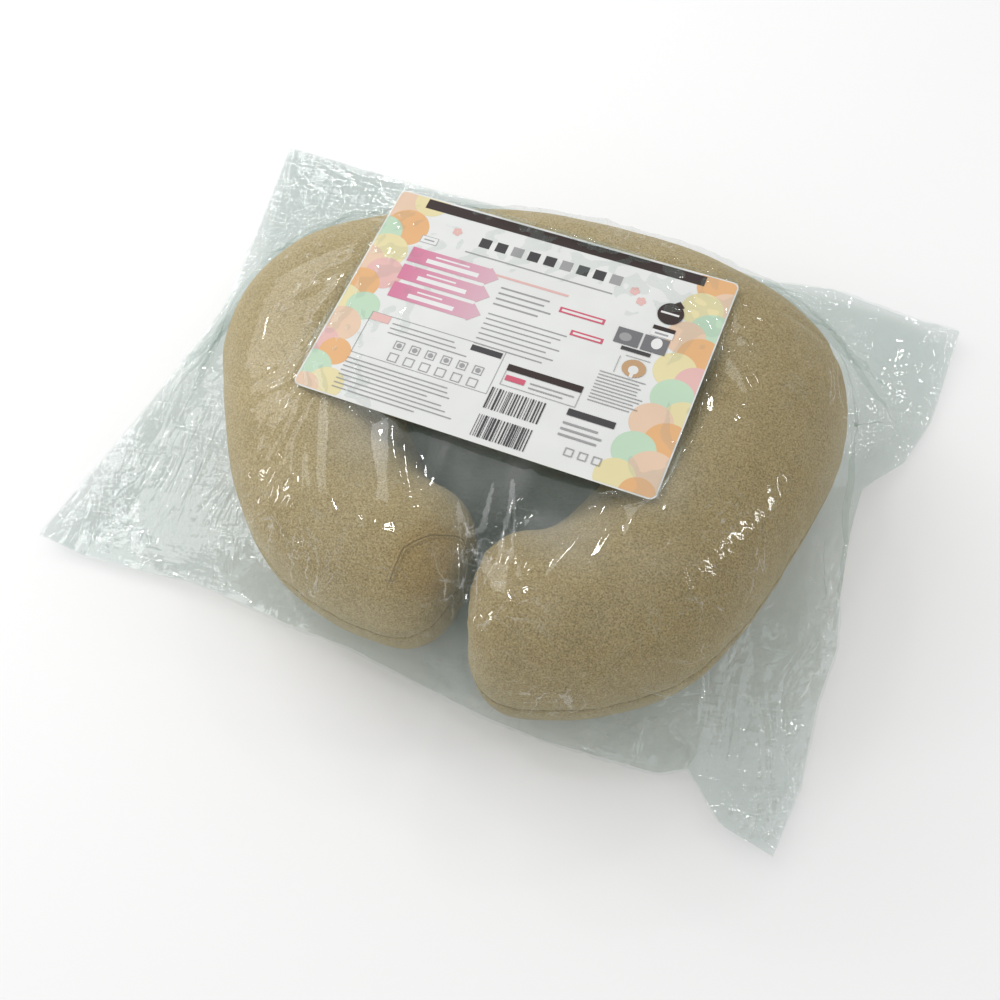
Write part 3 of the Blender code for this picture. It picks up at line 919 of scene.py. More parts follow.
@dataclass(frozen=True)
class Cushion:
    """The pile cover with its seams, the inner case and the filling."""

    form: CushionForm
    zip_arc: ZipArc
    start_inset: float = 0.0035
    case_inset: float = 0.0085
    filling_inset: float = 0.0110
    top_z: float = 0.1606
    rest_z: float = 0.0009
    press_softness: float = 0.004
    rim_steps: int = 140
    rim_inset: float = 0.0024
    tip_seam_radius: float = 0.0011
    rim_seam_radius: float = 0.0007
    dent_depths: tuple[float, float] = (0.0022, 0.0009)
    rim_depth: float = 0.0009
    pucker_depth: float = 0.0008
    gather_depth: float = 0.0016
    lip_rise: float = 0.0008
    slot_depth: float = 0.0072

    def build(self) -> bpy.types.Object:
        """Makes every soft piece of the cushion.

        Returns:
            The pile cover.
        """
        cover = self.cover()
        self.seam("tip_seam", self.tip_line(), self.tip_seam_radius)
        self.seam("rim_seam", self.rim_line(), self.rim_seam_radius)
        panels = ("inner_case_top_panel", "inner_case_bottom_panel")
        self.inside("inner_case", self.case_inset, panels, Slot.LINING)
        self.inside("fibre_filling", self.filling_inset, ("inner_filling",), Slot.FIBRE)
        return cover

    def cover(self) -> bpy.types.Object:
        """The pile cover: puffed, then pressed flat where it rests, slotted for the zip, and wrinkled."""
        bm = self.form.skin(self.start_inset, 150, 48)
        cover = Kit.piece("pile_cover", bm, [PileFinish().material()], Slot.PILE)
        Padding().puff(cover)
        places = Kit.coordinates(cover)
        places = self.wrinkled(cover, places)
        places = self.pressed(places)
        places = self.slotted(places)
        Kit.set_coordinates(cover, places)
        cover.data.shade_smooth()
        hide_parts("cover_top_panel", "cover_bottom_panel")
        return cover

    def pressed(self, places: np.ndarray) -> np.ndarray:
        """Flattens the skin softly against the card above and the floor below.

        Args:
            places: rows of x, y, z, which are changed.

        Returns:
            The same rows.
        """
        soft = self.press_softness
        over = places[:, 2] - (self.top_z - soft)
        places[:, 2] -= np.where(over > 0.0, over - soft * np.tanh(over / soft), 0.0)
        under = (self.rest_z + soft) - places[:, 2]
        places[:, 2] += np.where(under > 0.0, under - soft * np.tanh(under / soft), 0.0)
        return places

    def slotted(self, places: np.ndarray) -> np.ndarray:
        """Opens the back seam round the zip, with soft lips and a floor behind the tapes.

        Args:
            places: rows of x, y, z, which are changed.

        Returns:
            The same rows.
        """
        arc = self.zip_arc
        from_centre = places[:, :2] - np.array([0.0, arc.centre_y])
        radius = np.linalg.norm(from_centre, axis=1)
        angle = np.abs(np.arctan2(from_centre[:, 0], from_centre[:, 1]))
        height = np.abs(places[:, 2] - arc.middle_z)
        ends = 1.0 - Kit.smooth_step(angle, arc.half_angle - 0.004, arc.half_angle + 0.008)
        near = (radius > arc.wall - 0.03) & (angle < arc.half_angle + 0.05) & (from_centre[:, 1] > 0.0)
        groove = (1.0 - Kit.smooth_step(height, arc.slot / 2 - 0.0012, arc.slot / 2 + 0.0016)) * ends
        lips = np.exp(-(((height - arc.slot / 2 - 0.003) / 0.0035) ** 2)) * ends * self.lip_rise
        floor = arc.wall - self.slot_depth
        wanted = np.minimum(radius, arc.wall + 0.0006)
        wanted = wanted * (1.0 - groove) + floor * groove + lips
        scale = np.where(near, wanted / np.maximum(radius, 1e-6), 1.0)
        places[:, 0] *= scale
        places[:, 1] = arc.centre_y + from_centre[:, 1] * scale
        return places

    def wrinkled(self, cover: bpy.types.Object, places: np.ndarray) -> np.ndarray:
        """Adds the rim seam's pull, puckers across it, broad dents, and the gathers at the legs' tips.

        Args:
            cover: the cover, for its normals.
            places: rows of x, y, z.

        Returns:
            The moved rows.
        """
        normals = np.empty(len(cover.data.vertices) * 3)
        cover.data.vertices.foreach_get("normal", normals)
        normals = normals.reshape(-1, 3)
        height = places[:, 2] - self.form.middle_z
        broad, small = self.dent_depths
        dents = Kit.lumps(places, 11.0, 3.1) * broad + Kit.lumps(places, 27.0, 8.7) * small
        rim = np.exp(-((height / 0.0045) ** 2))
        puckers = Kit.lumps(places * np.array([1.0, 1.0, 0.12]), 95.0, 5.3)
        reach = np.exp(-((height / 0.017) ** 2))
        shift = dents - rim * self.rim_depth + reach * puckers * self.pucker_depth
        for side in (-1, 1):
            tip = self.tip_point(side)
            away = np.linalg.norm(places[:, :2] - np.array(tip[:2]), axis=1)
            gather = 1.0 - Kit.smooth_step(away, 0.012, 0.055)
            ruffles = Kit.lumps(places * np.array([1.0, 1.0, 0.5]), 120.0, 12.0 + side)
            shift += gather * ruffles * self.gather_depth
        shift -= self.crease_depth(places)
        return places + normals * shift[:, None]

    def crease_depth(self, places: np.ndarray) -> np.ndarray:
        """How deep the named fabric folds are at each place of the skin.

        Args:
            places: rows of x, y, z.

        Returns:
            One depth for each place.
        """
        creases = (
            ((-0.078, -0.050), (-0.090, -0.068), 0.0050, 0.0060),
            ((-0.070, -0.044), (-0.079, -0.070), 0.0030, 0.0040),
            ((0.196, 0.108), (0.262, 0.098), 0.0030, 0.0050),
            ((0.060, -0.140), (0.085, -0.118), 0.0018, 0.0040),
        )
        upper = Kit.smooth_step(places[:, 2], self.form.middle_z, self.form.middle_z + 0.03)
        depth = np.zeros(len(places))
        for start, end, deep, wide in creases:
            first, last = np.array(start), np.array(end)
            line = last - first
            share = np.clip((places[:, :2] - first) @ line / (line @ line), 0.0, 1.0)
            away = np.linalg.norm(places[:, :2] - (first + share[:, None] * line), axis=1)
            depth += deep * np.exp(-((away / wide) ** 2)) * (0.35 + 0.65 * np.sin(share * math.pi)) * upper
        return depth

    def tip_point(self, side: int) -> Vector:
        """The middle of a leg's rounded end."""
        return self.form.point(self.form.station(side * 0.985), math.pi / 2, self.start_inset)

    def tip_line(self) -> list[Vector]:
        """The short seam that closes the left leg's end, over its top."""
        plan = ((-0.002, -0.131), (-0.012, -0.137), (-0.027, -0.148), (-0.042, -0.163), (-0.048, -0.187))
        cover = bpy.data.objects["pile_cover"]
        places = np.array(plan)
        shares = np.linspace(0.0, len(plan) - 1.0, 41)
        knots = np.arange(len(plan))
        line = []
        for x, y in zip(np.interp(shares, knots, places[:, 0]), np.interp(shares, knots, places[:, 1])):
            found, place, _, _ = cover.ray_cast(Vector((x, y, 2 * self.top_z)), Vector((0.0, 0.0, -1.0)))
            if found and place.z > self.form.middle_z:
                line.append(place)
        return line

    def rim_line(self) -> list[Vector]:
        """The seam round the rim, from one end of the zip round both legs to the other end."""
        line = []
        form = self.form
        start = form.back_radius * self.zip_arc.half_angle / (form.tip_distance + 1.2 * form.tip_length)
        for side, order in ((1, 1), (-1, -1)):
            half = []
            for index in range(self.rim_steps + 1):
                along = start + (1.0 - start) * index / self.rim_steps
                half.append(form.point(form.station(side * along), 0.0, self.rim_inset))
            for index in range(1, self.rim_steps + 1):
                along = 1.0 - index / self.rim_steps
                half.append(form.point(form.station(side * along), math.pi, self.rim_inset))
            line += half[::order]
        return line

    def seam(self, name: str, line: list[Vector], radius: float) -> bpy.types.Object:
        """A sewn seam: a fine double ridge laid on the skin along a line.

        Args:
            name: the piece's name.
            line: the points it follows.
            radius: the radius of each ridge.

        Returns:
            The seam piece.
        """
        cover = bpy.data.objects["pile_cover"]
        bm = bmesh.new()
        graph_points = []
        for place in line:
            found, near, normal, _ = cover.closest_point_on_mesh(place)
            graph_points.append((near, normal) if found else (place, Vector((0, 0, 1))))
        rings_made = 8
        for offset in (-1.15, 1.15):
            previous: list[bmesh.types.BMVert] = []
            for index, (place, normal) in enumerate(graph_points):
                before = graph_points[max(index - 1, 0)][0]
                after = graph_points[min(index + 1, len(graph_points) - 1)][0]
                tangent = (after - before).normalized()
                across = normal.cross(tangent).normalized()
                centre = place + across * offset * radius + normal * radius * 0.15
                turn = Matrix((across, normal, tangent)).transposed().to_4x4()
                made = bmesh.ops.create_circle(
                    bm, segments=rings_made, radius=radius, matrix=Matrix.Translation(centre) @ turn
                )["verts"]
                if previous:
                    for corner in range(rings_made):
                        after_corner = (corner + 1) % rings_made
                        bm.faces.new(
                            (previous[corner], previous[after_corner], made[after_corner], made[corner])
                        )
                previous = made
        bmesh.ops.holes_fill(bm, edges=[edge for edge in bm.edges if edge.is_boundary], sides=rings_made)
        bmesh.ops.recalc_face_normals(bm, faces=bm.faces[:])
        return Kit.piece(name, bm, [bpy.data.materials["beige_pile"]], Slot.PILE)

    def inside(self, name: str, inset: float, nodes: Sequence[str], slot: Slot) -> bpy.types.Object:
        """A stuffed piece inside the cover, which stands for CAD nodes.

        Args:
            name: the piece's name.
            inset: how far inside the cushion's skin it lies.
            nodes: the CAD nodes that it stands for.
            slot: its material slot.

        Returns:
            The piece.
        """
        if slot is Slot.LINING:
            lining = WeaveFinish("white_lining", (0.72, 0.71, 0.68), (0.88, 0.87, 0.85), 0.0009, 0.9)
            material = lining.material()
        else:
            material = FibreFinish().material()
        bm = self.form.skin(inset, 110, 40)
        for vert in bm.verts:
            lump = noise.noise(vert.co * 30.0 + Vector((inset * 900.0, 0.0, 0.0)))
            vert.co += vert.normal * (lump - 0.6) * 0.0008
        obj = Kit.piece(name, bm, [material], slot)
        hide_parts(*nodes)
        return obj


@dataclass(frozen=True)
class Zip:
    """The zip's tapes, coils, stitching, stops, slider and pull."""

    arc: ZipArc
    tooth_pitch: float = 0.0014
    tooth_height: float = 0.0022
    slider_half: float = 0.0045
    half_height: float = 0.0042
    bridge_inner: float = 0.00131
    bridge_rise: float = 0.00101
    bridge_bar: float = 0.0010
    bridge_width: float = 0.0018
    pull_length: float = 0.0150
    pull_width: float = 0.0056
    pull_thickness: float = 0.0010

    def build(self, nodes: dict[str, bpy.types.Object]) -> None:
        """Dresses the CAD tapes and stops, and makes the finer pieces.

        Args:
            nodes: the CAD nodes by name.
        """
        tape = WeaveFinish("zip_tape_weave", (0.40, 0.33, 0.20), (0.56, 0.48, 0.33), 0.0005, 0.8).material()
        nylon = MouldedFinish("zip_coil_nylon", (0.55, 0.46, 0.30), 0.42).material()
        metal = MouldedFinish("enamelled_zinc", (0.50, 0.42, 0.29), 0.32, 0.55, 0.4).material()
        for name in ("zip_upper_tape", "zip_lower_tape"):
            self.repaint(nodes[name], tape)
        for name in ("zip_upper_top_stop", "zip_lower_top_stop", "zip_bottom_stop"):
            self.repaint(nodes[name], metal)
        for name, up in (("upper", 1), ("lower", -1)):
            self.coil(name, up, nylon)
            self.stitching(name, up)
        self.slider(metal)
        self.pull(metal)

    @staticmethod
    def repaint(obj: bpy.types.Object, material: bpy.types.Material) -> None:
        """Gives a CAD node another material."""
        for slot in obj.material_slots:
            slot.material = material

    def coil(self, name: str, up: int, material: bpy.types.Material) -> None:
        """One row of coil teeth: rounded loops that lean along the tape's edge.

        Args:
            name: upper or lower.
            up: 1 above the middle, -1 below it.
            material: the nylon.
        """
        bm = bmesh.new()
        span = self.arc.half_angle - 0.0035 / self.arc.wall
        count = int(2 * span * self.arc.wall / self.tooth_pitch)
        low = up * self.arc.post_gap / 2
        high = up * (self.arc.post_gap / 2 + self.tooth_height)
        for index in range(count):
            angle = -span + (index + 0.5) * 2 * span / count
            frame = self.arc.frame(angle)
            lean = 0.00018 * up
            half = self.tooth_pitch * 0.34
            verts = Kit.block(
                bm,
                (-half, self.arc.teeth - 0.0015, min(low, high)),
                (half, self.arc.teeth, max(low, high)),
                0.0003,
            )
            for vert in verts:
                vert.co.x += lean * (vert.co.z / self.tooth_height)
            bmesh.ops.transform(bm, matrix=frame, verts=verts)
        obj = Kit.piece(f"zip_{name}_coil", bm, [material], Slot.NYLON)
        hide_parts(f"zip_{name}_teeth")

    def stitching(self, name: str, up: int) -> None:
        """A row of stitches that holds the coil to its tape.

        Args:
            name: upper or lower.
            up: 1 above the middle, -1 below it.
        """
        thread = WeaveFinish("zip_thread", (0.50, 0.42, 0.27), (0.66, 0.57, 0.40), 0.0003, 0.7).material()
        bm = bmesh.new()
        span = self.arc.half_angle - 0.004 / self.arc.wall
        count = int(2 * span * self.arc.wall / 0.0028)
        height = up * (self.arc.post_gap / 2 + self.tooth_height + 0.0009)
        for index in range(count):
            angle = -span + (index + 0.5) * 2 * span / count
            verts = Kit.block(
                bm,
                (-0.0010, self.arc.tape - 0.0001, height - 0.00018),
                (0.0010, self.arc.tape + 0.00022, height + 0.00018),
                0.0001,
            )
            bmesh.ops.transform(bm, matrix=self.arc.frame(angle), verts=verts)
        Kit.piece(f"zip_{name}_stitches", bm, [thread], Slot.TAPE)

    def slider(self, material: bpy.types.Material) -> None:
        """The slider: two waisted plates, side flanges, a post, and the bridge over the pull's eye."""
        arc = self.arc
        half, tall = self.slider_half, self.half_height
        bm = bmesh.new()
        for low, high in ((arc.plate, arc.plate_top), (arc.tape - 0.0020, arc.tape - 0.0010)):
            plate = Kit.block(bm, (-half, low, -tall), (half, high, tall), 0.0003)
            for vert in plate:
                waist = 1.0 - 0.16 * (0.5 - vert.co.x / (2 * half))
                vert.co.z *= waist
        for up in (-1, 1):
            inner, outer = sorted((up * (tall - 0.0010), up * tall))
            rail = Kit.block(bm, (-half, arc.tape + 0.0004, inner), (half, arc.plate + 0.0006, outer), 0.0002)
            for vert in rail:
                vert.co.z *= 1.0 - 0.16 * (0.5 - vert.co.x / (2 * half))
        post_low = (half - 0.0025, arc.tape - 0.0015, -0.0003)
        post_high = (half - 0.0005, arc.plate + 0.0006, 0.0003)
        Kit.block(bm, post_low, post_high)
        inner, bar, width = self.bridge_inner, self.bridge_bar, self.bridge_width / 2
        top = arc.pull_axis + self.bridge_rise
        Kit.block(bm, (-inner - bar, top, -width), (inner + bar, top + bar, width), 0.00035)
        for side in (-1, 1):
            near, far = sorted((side * inner, side * (inner + bar)))
            Kit.block(bm, (near, arc.plate + 0.0006, -width), (far, top + bar * 0.7, width), 0.00025)
        bmesh.ops.transform(bm, matrix=arc.frame(arc.slider_angle), verts=bm.verts[:])
        bmesh.ops.recalc_face_normals(bm, faces=bm.faces[:])
        obj = Kit.piece("zip_slider_body", bm, [material], Slot.METAL, Body.SLIDER)
        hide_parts("zip_slider")

    def pull(self, material: bpy.types.Material) -> None:
        """The pull: a rounded tab with a raised rim and a bar through the bridge."""
        length, half, thick = self.pull_length, self.pull_width / 2, self.pull_thickness / 2
        eye, arm, start = 0.0012, 0.0012, 0.0035
        bm = bmesh.new()
        Kit.block(bm, (-start, -thick * 0.9, -eye - arm), (thick, thick * 0.9, -eye), 0.0002)
        Kit.block(bm, (-start, -thick * 0.9, eye), (thick, thick * 0.9, eye + arm), 0.0002)
        Kit.block(bm, (-thick, -thick * 0.9, -eye - arm * 0.5), (thick, thick * 0.9, eye + arm * 0.5), 0.0002)
        tab = Kit.block(bm, (-length, -thick, -half), (-start + 0.0004, thick, half))
        sides = list({edge for vert in tab for edge in vert.link_edges})
        uprights = [edge for edge in sides if math.fabs(edge.verts[0].co.y - edge.verts[1].co.y) > thick]
        bmesh.ops.bevel(
            bm, geom=uprights, offset=0.0016, segments=4, profile=0.5, affect="EDGES", material=-1
        )
        faces = [face for face in bm.faces if math.fabs(face.normal.y) > 0.9 and face.calc_area() > 2.5e-5]
        bmesh.ops.inset_region(bm, faces=faces, thickness=0.0008, depth=0.0)
        bmesh.ops.inset_region(bm, faces=faces, thickness=0.0001, depth=-0.0002)
        carrier = self.arc.frame(self.arc.slider_angle) @ Matrix.Translation((0.0, self.arc.pull_axis, 0.0))
        bmesh.ops.transform(bm, matrix=carrier, verts=bm.verts[:])
        bmesh.ops.recalc_face_normals(bm, faces=bm.faces[:])
        obj = Kit.piece("zip_pull", bm, [material], Slot.METAL, Body.PULL)
        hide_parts("zip_pull_tab")


@dataclass(frozen=True)
class CareLabel:
    """A blank folded satin label that hangs from the rim seam of the left side."""

    form: CushionForm
    width: float = 0.030
    drop: float = 0.052
    sides: tuple[float, float] = (-0.42, -0.455)
    start_angle: float = math.radians(3.0)
    sweep: float = math.radians(38.0)
    under_ply: float = 0.0009
    upper_ply: float = 0.0015
    fold_from: float = 0.93

    def build(self) -> None:
        """Makes the label as a folded ribbon that lies on the cover."""
        cover = bpy.data.objects["pile_cover"]
        bm = bmesh.new()
        bmesh.ops.create_grid(bm, x_segments=16, y_segments=40, size=1.0)
        first, last = (self.form.station(side) for side in self.sides)
        middle_ply = (self.under_ply + self.upper_ply) / 2
        for vert in bm.verts:
            along = (vert.co.x + 1.0) / 2
            fold = vert.co.y
            depth = 1.0 - math.fabs(fold)
            angle = -(self.start_angle + self.sweep * depth)
            start = self.form.point(first, angle, 0.0)
            end = self.form.point(last, angle, 0.0)
            place = start.lerp(end, along)
            _, near, normal, _ = cover.closest_point_on_mesh(place)
            layer = self.under_ply if fold < 0.0 else self.upper_ply
            if depth > self.fold_from:
                layer = middle_ply + (layer - middle_ply) * (1.0 - depth) / (1.0 - self.fold_from)
            ripple = 0.0003 * math.sin(along * 7.0 + depth * 5.0)
            vert.co = near + normal * (layer + ripple)
        satin = WeaveFinish("label_satin_weave", (0.80, 0.80, 0.78), (0.94, 0.94, 0.92), 0.0003, 0.35)
        label = Kit.piece("care_ribbon", bm, [satin.material()], Slot.SATIN)
        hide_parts("care_label")


class Ink(Enum):
    """The card's printing inks, in the order of its material slots."""

    CARD = 0
    BROWN = 1
    ORANGE = 2
    PEACH = 3
    YELLOW = 4
    MINT = 5
    PINK = 6
    BANNER = 7
    GREY = 8
    DARK = 9
    RED = 10
    TAN = 11
    WHITE = 12
    PHOTO = 13


INK_TONES: dict[Ink, Colour] = {
    Ink.CARD: (0.75, 0.76, 0.74),
    Ink.BROWN: (0.034, 0.020, 0.018),
    Ink.ORANGE: (0.75, 0.43, 0.20),
    Ink.PEACH: (0.75, 0.55, 0.40),
    Ink.YELLOW: (0.75, 0.67, 0.38),
    Ink.MINT: (0.50, 0.67, 0.50),
    Ink.PINK: (0.74, 0.46, 0.43),
    Ink.GREY: (0.33, 0.33, 0.33),
    Ink.DARK: (0.052, 0.049, 0.052),
    Ink.RED: (0.60, 0.11, 0.17),
    Ink.TAN: (0.52, 0.33, 0.18),
    Ink.WHITE: (0.78, 0.78, 0.77),
    Ink.PHOTO: (0.17, 0.17, 0.18),
}


@dataclass
class InsertCard:
    """The printed card: a thin sheet with rounded corners and generic printed shapes, in card metres."""

    length: float = 0.297
    depth: float = 0.210
    thickness: float = 0.0005
    corner: float = 0.006
    x: float = -0.005
    y: float = 0.0345
    turn: float = math.radians(-7.9)
    layer: float = 0.000002
    first_layer: int = 20
    white_edge: float = 0.0012

    def build(self, node: str) -> None:
        """Makes the card and the shapes printed on it.

        Args:
            node: the CAD card that it stands for.
        """
        self.low_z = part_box(node)[0][2]
        self.carrier = Matrix.Translation((self.x, self.y, 0.0)) @ Matrix.Rotation(self.turn, 4, "Z")
        self.materials = [self.ink_material(ink) for ink in Ink]
        bm = bmesh.new()
        Kit.block(
            bm,
            (-self.length / 2, -self.depth / 2, self.low_z),
            (self.length / 2, self.depth / 2, self.low_z + self.thickness),
        )
        uprights = [edge for edge in bm.edges if math.fabs(edge.verts[0].co.z - edge.verts[1].co.z) > 1e-4]
        bmesh.ops.bevel(
            bm, geom=uprights, offset=self.corner, segments=6, profile=0.5, affect="EDGES", material=-1
        )
        bmesh.ops.transform(bm, matrix=self.carrier, verts=bm.verts[:])
        card = Kit.piece("insert_sheet", bm, [self.materials[0]], Slot.CARD, smooth=False)
        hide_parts(node)
        print_piece = self.printing()

    def ink_material(self, ink: Ink) -> bpy.types.Material:
        """The material of an ink."""
        if ink is Ink.BANNER:
            start, end = self.x - 0.115, self.x - 0.035
            banner = GradientInk("ink_banner", (0.62, 0.20, 0.32), (0.65, 0.44, 0.50), start, end, self.turn)
            return banner.material()
        return PaperFinish(f"ink_{ink.name.lower()}", INK_TONES[ink]).material()

    def printing(self) -> bpy.types.Object:
        """Every printed shape, as one piece that lies on the card."""
        self.bm = bmesh.new()
        self.height = 0
        self.end_circles()
        self.header()
        self.banners()
        self.rules()
        self.boxes()
        self.diagram()
        self.trim()
        bmesh.ops.transform(self.bm, matrix=self.carrier, verts=self.bm.verts[:])
        return Kit.piece("insert_printing", self.bm, self.materials, Slot.CARD, smooth=False)

    def lift(self) -> float:
        """The height of the next printed layer."""
        self.height += 1
        return self.low_z + self.thickness + self.layer * (self.first_layer + self.height)

    def ink(self, before: set[bmesh.types.BMFace], ink: Ink) -> None:
        """Gives the faces made since then an ink."""
        for face in self.bm.faces:
            if face not in before:
                face.material_index = ink.value

    def bar(self, left: float, bottom: float, wide: float, tall: float, ink: Ink, turn: float = 0.0) -> None:
        """A printed bar; sizes are in millimetres from the card's middle.

        Args:
            left: its left side.
            bottom: its front side.
            wide: its width.
            tall: its depth.
            ink: its ink.
            turn: its turn, in radians.
        """
        before = set(self.bm.faces)
        middle = Vector(((left + wide / 2) / 1000, (bottom + tall / 2) / 1000, self.lift()))
        place = Matrix.Translation(middle) @ Matrix.Rotation(turn, 4, "Z")
        scale = Matrix.Diagonal((wide / 2000, tall / 2000, 1.0, 1.0))
        bmesh.ops.create_grid(self.bm, x_segments=1, y_segments=1, size=1.0, matrix=place @ scale)
        self.ink(before, ink)

    def disc(self, x: float, y: float, radius: float, ink: Ink, sides: int = 40, squash: float = 1.0) -> None:
        """A printed disc or, with few sides, a polygon; sizes are in millimetres.

        Args:
            x: its middle.
            y: its middle.
            radius: its radius.
            ink: its ink.
            sides: how many sides.
            squash: its depth over its width.
        """
        before = set(self.bm.faces)
        middle = Matrix.Translation((x / 1000, y / 1000, self.lift()))
        place = middle @ Matrix.Diagonal((1.0, squash, 1.0, 1.0))
        bmesh.ops.create_circle(self.bm, cap_ends=True, segments=sides, radius=radius / 1000, matrix=place)
        self.ink(before, ink)

    def outline(self, left: float, bottom: float, wide: float, tall: float, line: float, ink: Ink) -> None:
        """A printed frame.

        Args:
            left: its left side.
            bottom: its front side.
            wide: its width.
            tall: its depth.
            line: the line's width.
            ink: its ink.
        """
        self.bar(left, bottom, wide, line, ink)
        self.bar(left, bottom + tall - line, wide, line, ink)
        self.bar(left, bottom, line, tall, ink)
        self.bar(left + wide - line, bottom, line, tall, ink)

    def end_circles(self) -> None:
        """Overlapping pastel circles that fill both ends of the card."""
        left = (
            (-140, 92, 20, Ink.PEACH), (-118, 100, 15, Ink.YELLOW), (-128, 68, 19, Ink.ORANGE),
            (-146, 58, 17, Ink.MINT), (-134, 40, 18, Ink.YELLOW), (-148, 24, 18, Ink.PEACH),
            (-126, 18, 16, Ink.PINK), (-140, 2, 16, Ink.ORANGE), (-148, -20, 18, Ink.YELLOW),
            (-128, -18, 14, Ink.MINT), (-138, -40, 17, Ink.PEACH), (-146, -62, 16, Ink.PINK),
            (-130, -66, 13, Ink.ORANGE), (-142, -86, 17, Ink.MINT), (-124, -96, 15, Ink.YELLOW),
            (-140, -104, 13, Ink.PEACH),
        )
        right = (
            (134, 96, 18, Ink.ORANGE), (147, 76, 17, Ink.PEACH), (128, 70, 17, Ink.YELLOW),
            (142, 50, 19, Ink.MINT), (124, 40, 16, Ink.PEACH), (140, 26, 18, Ink.ORANGE),
            (126, 8, 17, Ink.YELLOW), (145, 0, 17, Ink.PINK), (132, -16, 17, Ink.MINT),
            (146, -32, 16, Ink.YELLOW), (124, -42, 17, Ink.PEACH), (141, -56, 18, Ink.ORANGE),
            (120, -70, 17, Ink.MINT), (138, -84, 19, Ink.PEACH), (114, -96, 16, Ink.YELLOW),
            (134, -104, 14, Ink.ORANGE),
        )
        for x, y, radius, ink in (*left, *right):
            self.disc(x, y, radius, ink)

    def header(self) -> None:
        """The dark strip along the back edge, a row of plain tiles below it, and small blossoms."""
        self.bar(-122, 93, 244, 10, Ink.BROWN)
        for index in range(9):
            tile = Ink.GREY if index % 3 == 2 else Ink.DARK
            self.bar(-64 + index * 14.2, 69.5 + index * 0.15, 9.5, 9.5, tile)
        self.bar(-72, 60.5, 128, 1.3, Ink.GREY)
        self.bar(-46, 46, 70, 2.2, Ink.PINK)
        for x, y in ((-86, 78), (72, 70), (80, 62)):
            for petal in range(5):
                angle = petal * math.tau / 5
                self.disc(x + 2.4 * math.cos(angle), y + 2.4 * math.sin(angle), 1.9, Ink.PINK, 12)
        self.bar(-112, 58, 15, 7.5, Ink.GREY)
        self.bar(-111.5, 58.5, 14, 6.5, Ink.CARD)
        self.bar(-109, 61, 9, 1.4, Ink.GREY)

    def banners(self) -> None:
        """Three pointed banners, each with two plain pale rules."""
        for index in range(3):
            bottom = 36.0 - index * 19.0
            self.bar(-114, bottom, 70, 15.5, Ink.BANNER)
            self.disc(-44, bottom + 7.75, 8.9, Ink.BANNER, 4)
            self.bar(-92, bottom + 10.3, 30 - index * 4, 1.6, Ink.WHITE)
            self.bar(-98, bottom + 3.4, 46 - index * 3, 4.2, Ink.WHITE)

    def rules(self) -> None:
        """Rows of fine rules in the middle of the card."""
        draw = random.Random(7)
        for row in range(4):
            self.bar(-30, 36 - row * 5.6, 46 + draw.uniform(-9, 6), 1.5, Ink.GREY)
        for row in range(7):
            self.bar(-30, 9 - row * 5.0, 72 + draw.uniform(-16, 4), 1.1, Ink.GREY)
        self.bar(22, 30, 38, 5.4, Ink.RED)
        self.bar(24, 31.6, 34, 2.2, Ink.CARD)
        self.bar(38, 12, 27, 5.2, Ink.RED)
        self.bar(40, 13.6, 23, 2.0, Ink.CARD)

    def boxes(self) -> None:
        """The outlined boxes, the block patterns and the small table along the front edge."""
        draw = random.Random(11)
        self.outline(-118, -62, 116, 42, 0.5, Ink.GREY)
        self.bar(-117, -28, 16, 7.5, Ink.PINK)
        for row in range(3):
            self.bar(-98, -26.5 - row * 4.6, 60 + draw.uniform(-20, 10), 1.0, Ink.GREY)
        self.bar(-30, -28, 26, 5.4, Ink.DARK)
        for index in range(6):
            self.outline(-88 + index * 13.5, -48, 8.0, 8.0, 0.7, Ink.GREY)
            self.disc(-84 + index * 13.5, -44, 2.2, Ink.GREY, 10)
        for index in range(6):
            self.outline(-88 + index * 13.5, -60, 8.0, 8.0, 0.7, Ink.GREY)
        for row in range(8):
            self.bar(-118, -68 - row * 4.1, 96 + draw.uniform(-30, 12), 0.9, Ink.GREY)
        for left, bottom, wide, tall in ((0, -74, 46, 20), (0, -100, 46, 20)):
            x = left
            while x < left + wide - 2:
                stripe = draw.choice((0.5, 0.9, 1.3, 1.7))
                self.bar(x, bottom, stripe, tall, Ink.DARK)
                x += stripe + draw.choice((0.7, 1.1, 1.6))
        self.outline(4, -50, 62, 20, 0.5, Ink.GREY)
        self.bar(4, -36, 62, 6, Ink.BROWN)
        self.bar(6, -45, 16, 5, Ink.RED)
        for row in range(2):
            self.bar(26, -42 - row * 4.2, 36 - row * 8, 1.1, Ink.GREY)
        for row in range(10):
            self.bar(72, -12 - row * 3.1, 40 + draw.uniform(-8, 0), 0.8, Ink.GREY)
        self.bar(62, -58, 38, 6.0, Ink.DARK)
        for row in range(3):
            self.bar(62, -66 - row * 5.4, 30 + draw.uniform(-6, 4), 1.8, Ink.GREY)
        for index in range(3):
            self.outline(72 + index * 11, -92, 7, 7, 0.8, Ink.GREY)

